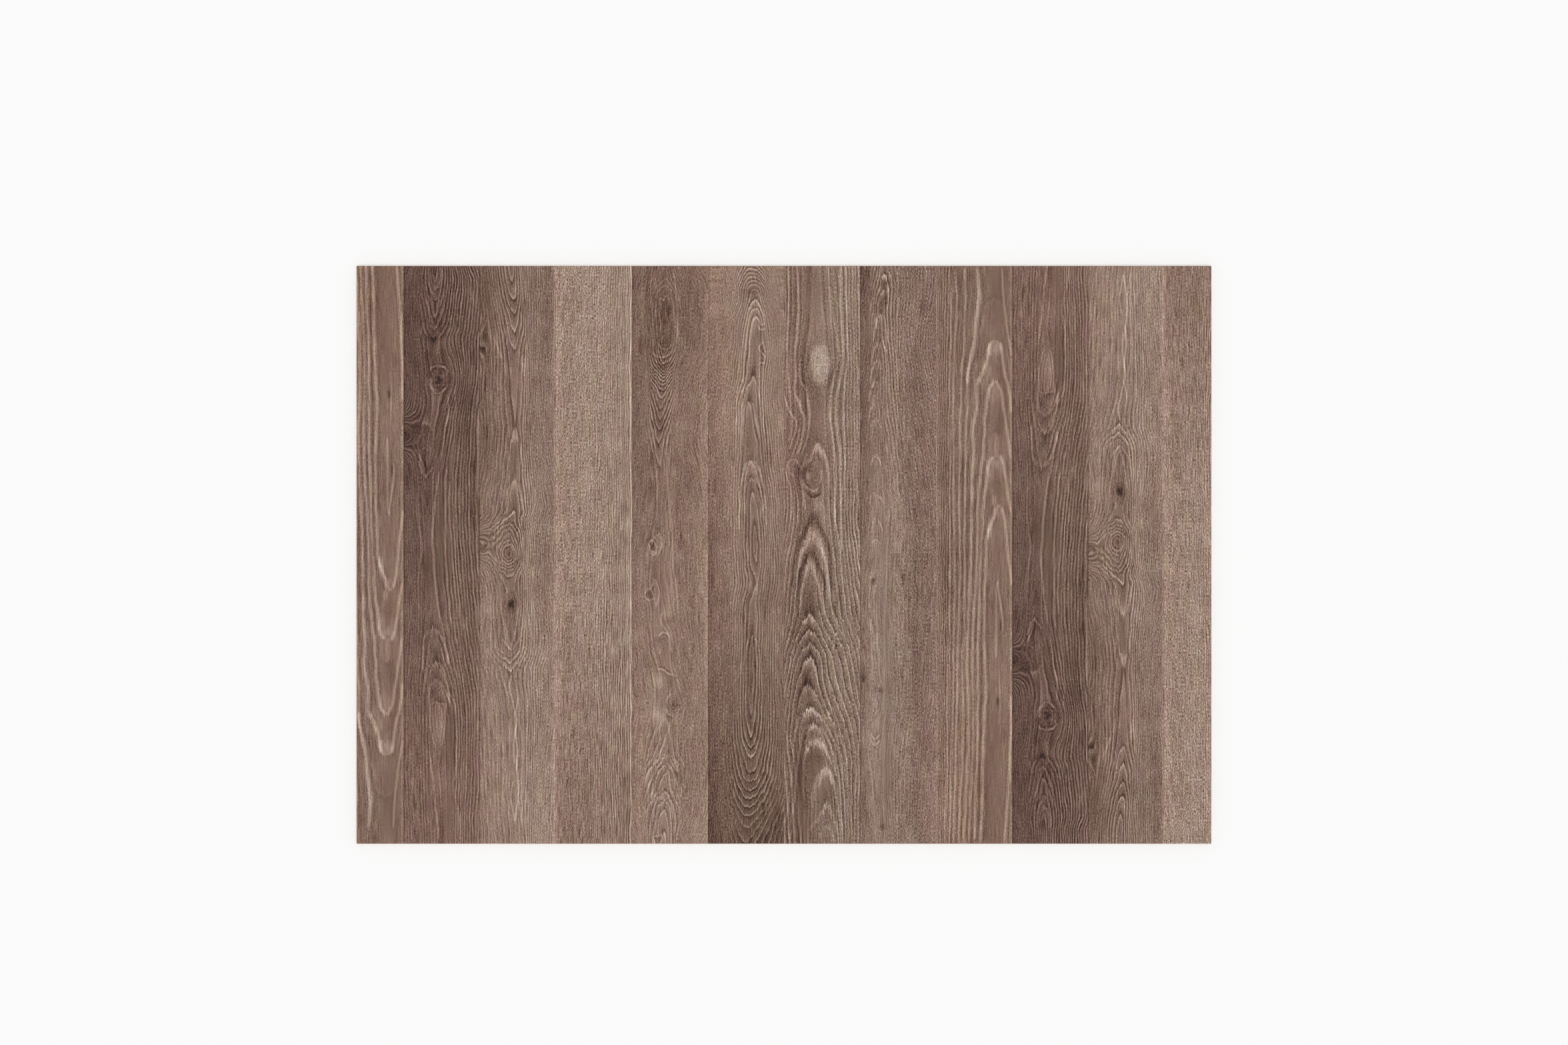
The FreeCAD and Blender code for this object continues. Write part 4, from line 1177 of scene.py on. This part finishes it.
def part(build, *given):
    """The number that build makes of the given ones, in a node group of its
    own, which keeps each tree small."""
    tree = bpy.data.node_groups.new("part", "ShaderNodeTree")
    for i in range(len(given)):
        tree.interface.new_socket("v%d" % i, in_out="INPUT", socket_type="NodeSocketFloat")
    tree.interface.new_socket("Value", in_out="OUTPUT", socket_type="NodeSocketFloat")
    source, out = tree.nodes.new("NodeGroupInput"), tree.nodes.new("NodeGroupOutput")
    made = build(*[Num(tree, source.outputs[i]) for i in range(len(given))])
    tree.links.new(made.socket, out.inputs[0])
    outer = given[0].tree
    node = outer.nodes.new("ShaderNodeGroup")
    node.node_tree = tree
    for i, v in enumerate(given):
        outer.links.new(v.socket, node.inputs[i])
    return Num(outer, node.outputs[0])


def total(items, draw, size, *given):
    """The sum of what draw makes of each item, worked out size at a time."""
    result = None
    for start in range(0, len(items), size):
        def build(*nums, some=items[start : start + size]):
            value = None
            for item in some:
                one = draw(item, *nums)
                value = one if value is None else value + one
            return value
        one = part(build, *given)
        result = one if result is None else result + one
    return result


def soft_spot(item, x, y):
    cx, cy, rx, ry, much = item
    return blob(x, y, cx, cy, rx, ry) * much


def tuft(item, x, y):
    cx, cy, rx, ry, much = item
    u, v = madd(x, 1.0 / rx, -cx / rx), madd(y, 1.0 / ry, -cy / ry)
    return step(op("SQRT", madd(u, u, v * v)), 1.2, 0.7) * much


def arch(item, x, y):
    cx, top, half, drop, thick, much = item
    u = op("ABSOLUTE", (x - cx) * (1.0 / half))
    v = (y - top - op("POWER", u, 1.6) * drop) * (1.0 / thick)
    return op("POWER", 0.36788, v * v) * step(u, 1.8, 1.0) * much


def flat(item, x, y):
    cx, cy, rx, ry, much = item
    return blob(x, y, cx, cy, rx, ry) * -much


def path(item, x, y):
    half, much, *points = item
    return stroke(x, y, half, points, *fades(points)) * (much * BOLD)


def leg(item, x, y):
    half, much, *points = item
    return stroke(x, y, half, points, 2.0, fades(points)[1]) * (much * BOLD)


def vee(item, x, y):
    half, much, *points = item
    return stroke(x, y, half, points, fades(points)[0], 2.0) * (much * BOLD)


def fades(points):
    fade = min(8.0, 0.2 * (points[-1][0] - points[0][0]))
    return fade, fade


def middle(d, x, y, fur, sway, key):
    """How far from the figure's middle, and the ragged y."""
    xs = x + sway
    loose = curve(y, d["loose"], 24)
    ys = y + (noise(x, y, 5, 80, key + 40) * 11.0 + fur * 14.0 * loose) * loose
    for px, py, rx, ry, cx, much in d["push"]:
        xs = xs - (x - cx) * blob(x, y, px, py, rx, ry) * much

    # the growth ring at this point
    mid, reach = d["mid"], d.get("reach", 48.0)
    off = madd(xs, 1.0, -mid)
    near = op("POWER", 0.36788, (off * (1.0 / reach)) * (off * (1.0 / reach)))
    bend = curve(ys, [(a, b - mid) for a, b in d["axis"]], 96)
    dist = off - bend * near
    if "spread" in d:
        spread = curve(y, d["spread"], 48)
        dist = dist * spread
    return dist, ys


def growth(d, key, x, y, fur, sway):
    """The growth rings' lines, pale above 0 and dark below."""
    dist, ys = middle(d, x, y, fur, sway, key)
    signed = [(a, b if a >= 0 else -b) for a, b in d["side"]]
    side = op("ABSOLUTE", curve(dist, signed, 128))
    phase = curve(ys, d["phase"], 216)
    sharp = curve(y, d["sharp"], 24)
    ring = op("POWER", op("POWER", phase, sharp) + op("POWER", side, sharp), op("DIVIDE", 1.0, sharp))
    n = op("FLOOR", ring)
    t = op("FRACT", ring)
    # rings met in one unit of length, so that lines keep their own width
    # whatever the rings' spacing: a thin pale line with a dark one beyond it
    less = sharp - 1.0
    across = op("POWER", side, less) * curve(dist, slope_of(signed, 129), 128)
    if "spread" in d:
        across = across * curve(y, d["spread"], 48)
    along = op("POWER", phase, less) * curve(ys, slope_of(d["phase"], 217), 216)
    fine = op("DIVIDE", op("SQRT", madd(along, along, across * across)), op("POWER", ring + 0.05, less))
    space = op("DIVIDE", 1.0, op("MINIMUM", op("MAXIMUM", fine, 0.012), 0.3))
    wide = step(space, 7.0, 26.0)
    inside, beyond = (1.0 - t) * space, t * space
    thick = d.get("thick", 1.0)
    pale = bell(madd(wide, -0.8 * thick, inside - 0.9), madd(wide, 2.0 * thick - 0.7, 1.0))
    dark = bell(madd(wide, -0.9 * thick, beyond - 0.9), madd(wide, 3.2 * thick - 0.8, 1.1))
    band = pale * 1.25 - dark * 0.95 + curve(t, SHADE, 24) * wide
    force = curve(x, d["bold_x"], 24) * curve(y, d["bold_y"], 48)
    for cx, cy, rx, ry, much in d["calm"]:
        force = force * madd(blob(x, y, cx, cy, rx, ry), -much, 1.0)
    strength = (madd(ring_hash(n, key), 0.8, 0.6) + noise(x, y, 9, 60, key + 80) * 1.0) * force
    return band * strength


def decor_group(key):
    """A node group that paints one plank design: x and y in, colour, roughness and height out."""
    d = DESIGNS[key]
    tree = bpy.data.node_groups.new("plank_%d" % key, "ShaderNodeTree")
    face = tree.interface
    face.new_socket("x", in_out="INPUT", socket_type="NodeSocketFloat")
    face.new_socket("y", in_out="INPUT", socket_type="NodeSocketFloat")
    face.new_socket("Color", in_out="OUTPUT", socket_type="NodeSocketColor")
    face.new_socket("Roughness", in_out="OUTPUT", socket_type="NodeSocketFloat")
    face.new_socket("Height", in_out="OUTPUT", socket_type="NodeSocketFloat")
    given, out = tree.nodes.new("NodeGroupInput"), tree.nodes.new("NodeGroupOutput")
    x, y = Num(tree, given.outputs[0]), Num(tree, given.outputs[1])

    # slow and quick wander of the growth rings, and the fibre's own jitter
    fur = noise(x, y, 1.3, 13, key + 60, 1.0, 0.6)
    sway = noise(x, y, 40, 150, key) * 7.0 + noise(x, y, 10, 30, key + 20) * 3.2
    lines = part(lambda *v: growth(d, key, *v), x, y, fur, sway)
    dist = part(lambda *v: middle(d, *v, key)[0], x, y, fur, sway)

    # knots have rings of their own
    for i, (cx, cy, rx, ry, kind, turn) in enumerate(d["knots"]):
        def rings(x, y, fur):
            wob = noise(x, y, 5, 6, key + 200 + i, 1.0)
            u = op("ABSOLUTE", (x + wob * 6.0 - cx) * (1.0 / rx))
            v = op("ABSOLUTE", (y + wob * 6.0 + fur * 7.0 - cy + (x - cx) * turn) * (1.0 / ry))
            sharp = 1.4 if kind == "loop" else 2.0
            return op("POWER", op("POWER", u, sharp) + op("POWER", v, sharp), 1.0 / sharp)
        r = part(rings, x, y, fur)
        lines = mix(curve(r, KNOTS[kind], 80), lines, step(r, 0.85, 1.2))

    # fibre: thin pale lines, streaks and short flecks
    hair = 0.16 - op("ABSOLUTE", noise(dist, y, 2.6, 60, key + 160, 1.0, 0.5))
    fibre = noise(dist, y, 1.25 * d["fine"], 24, key + 100, 2.0, 0.6)
    slant = x + y * d.get("slant", 0.0)
    fleck = noise(slant, y, 1.2 * d["fine"], 3.4, key + 120, 1.0, 0.6) * curve(x, d["fleck_x"], 16)
    cloud = noise(x, y, 22, 90, key + 140, 2.0)
    fleck = fleck * curve(y, [(a, 94.0 * b) for a, b in d["fleck_y"]], 16)
    grain = fibre * curve(y, [(a, 74.0 * b) for a, b in d["fibre_y"]], 16) + fleck + hair * 66.0
    if d["smooth"]:
        grain = grain * (total(d["smooth"], flat, 12, x, y) + 1.0)

    tone = curve(y, d["down"], 32) + curve(x, d["across"], 32) + d["tone"]
    tone = tone + lines * 25.0 + grain * d["grain"] + cloud * 28.0
    quick, rough_y, ragged = x + sway * 0.5 + fur * 1.6, y + fur * 26.0, y + fur * 16.0
    for items, draw, size, given in (
        (d["marks"], soft_spot, 12, (x, y)),
        (d["tufts"], tuft, 8, (x, rough_y)),
        (d["arches"], arch, 8, (quick, rough_y)),
        (d["paths"], path, 6, (quick, y)),
        (d["legs"], leg, 6, (quick, ragged)),
        (d["vees"], vee, 6, (quick, y + fur * 8.0)),
        (d["sweeps"], path, 6, (y + fur * 5.0, x)),
    ):
        if items:
            tone = tone + total(items, draw, size, *given)
    for cx, rx, much in d["edge"]:
        u = madd(x, 1.0 / rx, -cx / rx)
        tone = madd(op("POWER", 0.36788, u * u), much, tone)
    level = op("MULTIPLY", tone, 1.0 / 255.0, clamp=True)
    stops = []
    for v, g, b in BROWN:
        stops.append((v / 255.0, tuple(max(0.003, (linear(c) - HAZE) / LIT) for c in (v, g, b))))
    colour = ramp(level, stops)
    # a slight drift of hue, greener and bluer by turns
    g0, b0 = d["hue"]
    green = curve(x, [(a, 1.0 + 0.019 * (g + g0)) for a, g, _ in d["hue_x"]], 24)
    blue = curve(x, [(a, 1.0 + 0.022 * (b + b0)) for a, _, b in d["hue_x"]], 24)
    green = green + curve(y, [(a, 0.019 * g) for a, g, _ in d["hue_y"]], 24)
    blue = blue + curve(y, [(a, 0.022 * b) for a, _, b in d["hue_y"]], 24)
    for cx, cy, rx, ry, g, b in d["tints"]:
        spot = blob(x, y, cx, cy, rx, ry)
        green, blue = madd(spot, 0.019 * g, green), madd(spot, 0.022 * b, blue)
    green = madd(noise(x, y, 11, 44, key + 300, 1.0), 0.17, green)
    blue = madd(noise(x, y, 13, 55, key + 320, 1.0), 0.17, blue)
    tint = tree.nodes.new("ShaderNodeCombineXYZ")
    tint.inputs[0].default_value = 1.0
    tree.links.new(green.socket, tint.inputs[1])
    tree.links.new(blue.socket, tint.inputs[2])
    shift = tree.nodes.new("ShaderNodeVectorMath")
    shift.operation = "MULTIPLY"
    tree.links.new(colour, shift.inputs[0])
    tree.links.new(tint.outputs[0], shift.inputs[1])
    tree.links.new(shift.outputs[0], out.inputs["Color"])
    rough = op("ADD", fibre * -0.12, 0.6)
    tree.links.new(rough.socket, out.inputs["Roughness"])
    height = lines * 0.3 + fibre * 1.2
    tree.links.new(height.socket, out.inputs["Height"])
    return tree


def board_xy(tree):
    """x and y in the decor's units, from the place on the board."""
    coord = tree.nodes.new("ShaderNodeTexCoord")
    split = tree.nodes.new("ShaderNodeSeparateXYZ")
    tree.links.new(coord.outputs["Object"], split.inputs[0])
    x = madd(Num(tree, split.outputs[0]), 1.0 / UNIT, MID_X)
    y = madd(Num(tree, split.outputs[1]), -1.0 / UNIT, MID_Y)
    return x, y


def new_material(name):
    mat = bpy.data.materials.new(name)
    mat.use_nodes = True
    tree = mat.node_tree
    tree.nodes.clear()
    out = tree.nodes.new("ShaderNodeOutputMaterial")
    bsdf = tree.nodes.new("ShaderNodeBsdfPrincipled")
    tree.links.new(bsdf.outputs[0], out.inputs["Surface"])
    return mat, tree, bsdf


def strip_material(i, groups):
    """Strip i of the board, from 1 to 12. Strips 9 to 12 show designs 1 to 4
    turned top to bottom, and the two side strips are cut short."""
    mat, tree, bsdf = new_material("decor_strip_%02d" % i)
    x, y = board_xy(tree)
    key = i
    if i == 1:
        key, x, y = 9, x + 8 * STRIP, 1644.0 - y
    if i > 9:
        key, x, y = i - 8, x - 8 * STRIP, 1644.0 - y
    g = tree.nodes.new("ShaderNodeGroup")
    g.node_tree = groups[key]
    tree.links.new(x.socket, g.inputs[0])
    tree.links.new(y.socket, g.inputs[1])
    tree.links.new(g.outputs["Color"], bsdf.inputs["Base Color"])
    tree.links.new(g.outputs["Roughness"], bsdf.inputs["Roughness"])
    bump = tree.nodes.new("ShaderNodeBump")
    bump.inputs["Strength"].default_value = 0.25
    bump.inputs["Distance"].default_value = 0.0002
    tree.links.new(g.outputs["Height"], bump.inputs["Height"])
    tree.links.new(bump.outputs[0], bsdf.inputs["Normal"])
    bsdf.inputs["Specular IOR Level"].default_value = 0.2
    return mat


def core_material():
    """The sawn edge: pressed wood particles, coarse in the middle."""
    mat, tree, bsdf = new_material("sawn_edge")
    coord = tree.nodes.new("ShaderNodeTexCoord")
    place = tree.nodes.new("ShaderNodeSeparateXYZ")
    tree.links.new(coord.outputs["Object"], place.inputs[0])

    def chips(across, through, channel):
        """Flat chips: one value for each cell, and 0 in the gap round it; the dip to the gap is painted shade between
        the chips.
        """
        vector = tree.nodes.new("ShaderNodeMapping")
        vector.inputs["Scale"].default_value = (across, across, through)
        tree.links.new(coord.outputs["Object"], vector.inputs["Vector"])
        cell = tree.nodes.new("ShaderNodeTexVoronoi")
        cell.inputs["Scale"].default_value = 1.0
        tree.links.new(vector.outputs[0], cell.inputs["Vector"])
        part = tree.nodes.new("ShaderNodeSeparateColor")
        tree.links.new(cell.outputs["Color"], part.inputs[0])
        return Num(tree, part.outputs[channel]) * 0.8 - Num(tree, cell.outputs["Distance"]) * 0.35 + 0.25

    # coarse chips in the middle of the thickness, fine ones under both faces
    depth = op("ABSOLUTE", Num(tree, place.outputs[2]) - 0.009)
    middle_share = op("MULTIPLY", 0.0065 - depth, 500.0, clamp=True)
    mix = chips(170.0, 620.0, 0) * middle_share + chips(520.0, 1500.0, 1) * (1.0 - middle_share)
    noi = tree.nodes.new("ShaderNodeTexNoise")
    noi.inputs["Scale"].default_value = 900.0
    noi.inputs["Detail"].default_value = 3.0
    tree.links.new(coord.outputs["Object"], noi.inputs["Vector"])
    mix = mix * 0.8 + Num(tree, noi.outputs[0]) * 0.2
    # colour from the same values as the bump: each chip's own tone, with painted shade in the low gaps between chips
    col = ramp(mix, [(0.1, (0.20, 0.125, 0.075)), (0.5, (0.44, 0.315, 0.20)), (0.9, (0.64, 0.51, 0.36))])
    tree.links.new(col, bsdf.inputs["Base Color"])
    bsdf.inputs["Roughness"].default_value = 0.85
    bump = tree.nodes.new("ShaderNodeBump")
    bump.inputs["Strength"].default_value = 0.6
    bump.inputs["Distance"].default_value = 0.0006
    tree.links.new(mix.socket, bump.inputs["Height"])
    tree.links.new(bump.outputs[0], bsdf.inputs["Normal"])
    return mat


def backing_material():
    """The underside: a plain warm-grey balancing sheet with a faint fibre."""
    mat, tree, bsdf = new_material("backing_sheet")
    x, y = board_xy(tree)
    f = noise(x, y, 3.0, 3.0, 5, 3.0, 0.6) + noise(x, y, 120, 120, 6, 2.0) * 0.5
    col = ramp(f + 0.5, [(0.2, (0.36, 0.31, 0.26)), (0.5, (0.42, 0.37, 0.31)), (0.8, (0.47, 0.42, 0.36))])
    tree.links.new(col, bsdf.inputs["Base Color"])
    bsdf.inputs["Roughness"].default_value = 0.7
    bump = tree.nodes.new("ShaderNodeBump")
    bump.inputs["Strength"].default_value = 0.15
    bump.inputs["Distance"].default_value = 0.0002
    tree.links.new(f.socket, bump.inputs["Height"])
    tree.links.new(bump.outputs[0], bsdf.inputs["Normal"])
    return mat


# ---------------------------------------------------------------- the board
def build_board():
    """The board as one closed mesh, its decor face split into the twelve
    strips, with its arrises eased as in the frame."""
    lo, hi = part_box("floor_panel")
    ease = 0.0003
    x0, x1, y0, y1, z0, z1 = lo[0], hi[0], lo[1], hi[1], lo[2], hi[2]
    joints = [(v - MID_X) * UNIT for v in JOINTS]
    bm = bmesh.new()

    def ring(inset, z):
        return [
            bm.verts.new(p)
            for p in (
                (x0 + inset, y0 + inset, z),
                (x1 - inset, y0 + inset, z),
                (x1 - inset, y1 - inset, z),
                (x0 + inset, y1 - inset, z),
            )
        ]

    low, side_low, side_high = ring(ease, z0), ring(0.0, z0 + ease), ring(0.0, z1 - ease)
    xs = [x0 + ease] + joints + [x1 - ease]
    near = [bm.verts.new((x, y0 + ease, z1)) for x in xs]
    far = [bm.verts.new((x, y1 - ease, z1)) for x in xs]
    uv = bm.loops.layers.uv.new("OFBake")

    def face(verts, slot, place):
        f = bm.faces.new(verts)
        f.material_index = slot
        for loop in f.loops:
            loop[uv].uv = place(loop.vert.co)
        return f

    w, l = x1 - x0, y1 - y0
    scale = 0.992 / w

    def on_top(p):
        return (0.004 + (p.x - x0) * scale, 0.322 + (p.y - y0) * scale)

    def on_back(p):
        return (0.004 + (p.x - x0) * 0.21, 0.006 + (p.y - y0) * 0.21)

    def on_side(n):
        along = (lambda p: (p.x - x0) / w) if n % 2 == 0 else (lambda p: (p.y - y0) / l)

        def place(p):
            level = (p.z - z0) / (z1 - z0)
            return (0.455 + along(p) * 0.53, 0.012 + n * 0.075 + level * 0.05)

        return place

    face([low[0], low[3], low[2], low[1]], 13, on_back)
    for i in range(12):
        face([near[i], near[i + 1], far[i + 1], far[i]], i, on_top)
    tops = [near, [near[-1], far[-1]], far[::-1], [far[0], near[0]]]
    for n in range(4):
        a, b = n, (n + 1) % 4
        face([low[a], low[b], side_low[b], side_low[a]], 12, on_side(n))
        face([side_low[a], side_low[b], side_high[b], side_high[a]], 12, on_side(n))
        face([side_high[a], side_high[b]] + tops[n][::-1], 12, on_side(n))
    bmesh.ops.recalc_face_normals(bm, faces=bm.faces)
    mesh = bpy.data.meshes.new("decor_board")
    bm.to_mesh(mesh)
    bm.free()
    board = bpy.data.objects.new("decor_board", mesh)
    bpy.context.scene.collection.objects.link(board)
    groups = {k: decor_group(k) for k in DESIGNS}
    for i in range(1, 13):
        mesh.materials.append(strip_material(i, groups))
    mesh.materials.append(core_material())
    mesh.materials.append(backing_material())
    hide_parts("floor_panel")
    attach(board, "root")
    return board


build_board()


# ---------------------------------------------------------------- stage, light, camera
def build_stage():
    mesh = bpy.data.meshes.new("studio_floor")
    s = 60.0
    # a hair under the board, so the two faces don't lie in one plane
    z = -0.0004
    mesh.from_pydata([(-s, -s, z), (s, -s, z), (s, s, z), (-s, s, z)], [], [(0, 1, 2, 3)])
    floor = bpy.data.objects.new("studio_floor", mesh)
    bpy.context.scene.collection.objects.link(floor)
    mat, tree, bsdf = new_material("pale_floor")
    bsdf.inputs["Base Color"].default_value = (0.95, 0.95, 0.95, 1.0)
    bsdf.inputs["Roughness"].default_value = 0.9
    bsdf.inputs["Specular IOR Level"].default_value = 0.1
    mesh.materials.append(mat)

    world = bpy.data.worlds.new("studio_world")
    bpy.context.scene.world = world
    world.use_nodes = True
    back = world.node_tree.nodes["Background"]
    back.inputs[0].default_value = (1.0, 1.0, 1.0, 1.0)
    back.inputs[1].default_value = 0.41

    lamp = bpy.data.lights.new("overhead", "SUN")
    lamp.energy = 1.9
    lamp.angle = 0.6
    sun = bpy.data.objects.new("overhead", lamp)
    sun.rotation_euler = (0.06, 0.05, 0.0)
    bpy.context.scene.collection.objects.link(sun)


build_stage()

scene = bpy.context.scene
scene.view_settings.view_transform = "Standard"
scene.view_settings.look = "None"

camera = bpy.data.cameras.new("camera")
camera.lens = 85.0
camera.sensor_width = 36.0
camera.clip_end = 100.0
view = bpy.data.objects.new("camera", camera)
scene.collection.objects.link(view)
# straight down on the decor face; the frame is 2352 units wide there, and its
# middle is 48.5 units above the board's
height = 2352 * UNIT * camera.lens / camera.sensor_width
view.location = Vector((0.0, 48.5 * UNIT, 0.018 + height))
scene.camera = view

bpy.context.view_layer.update()
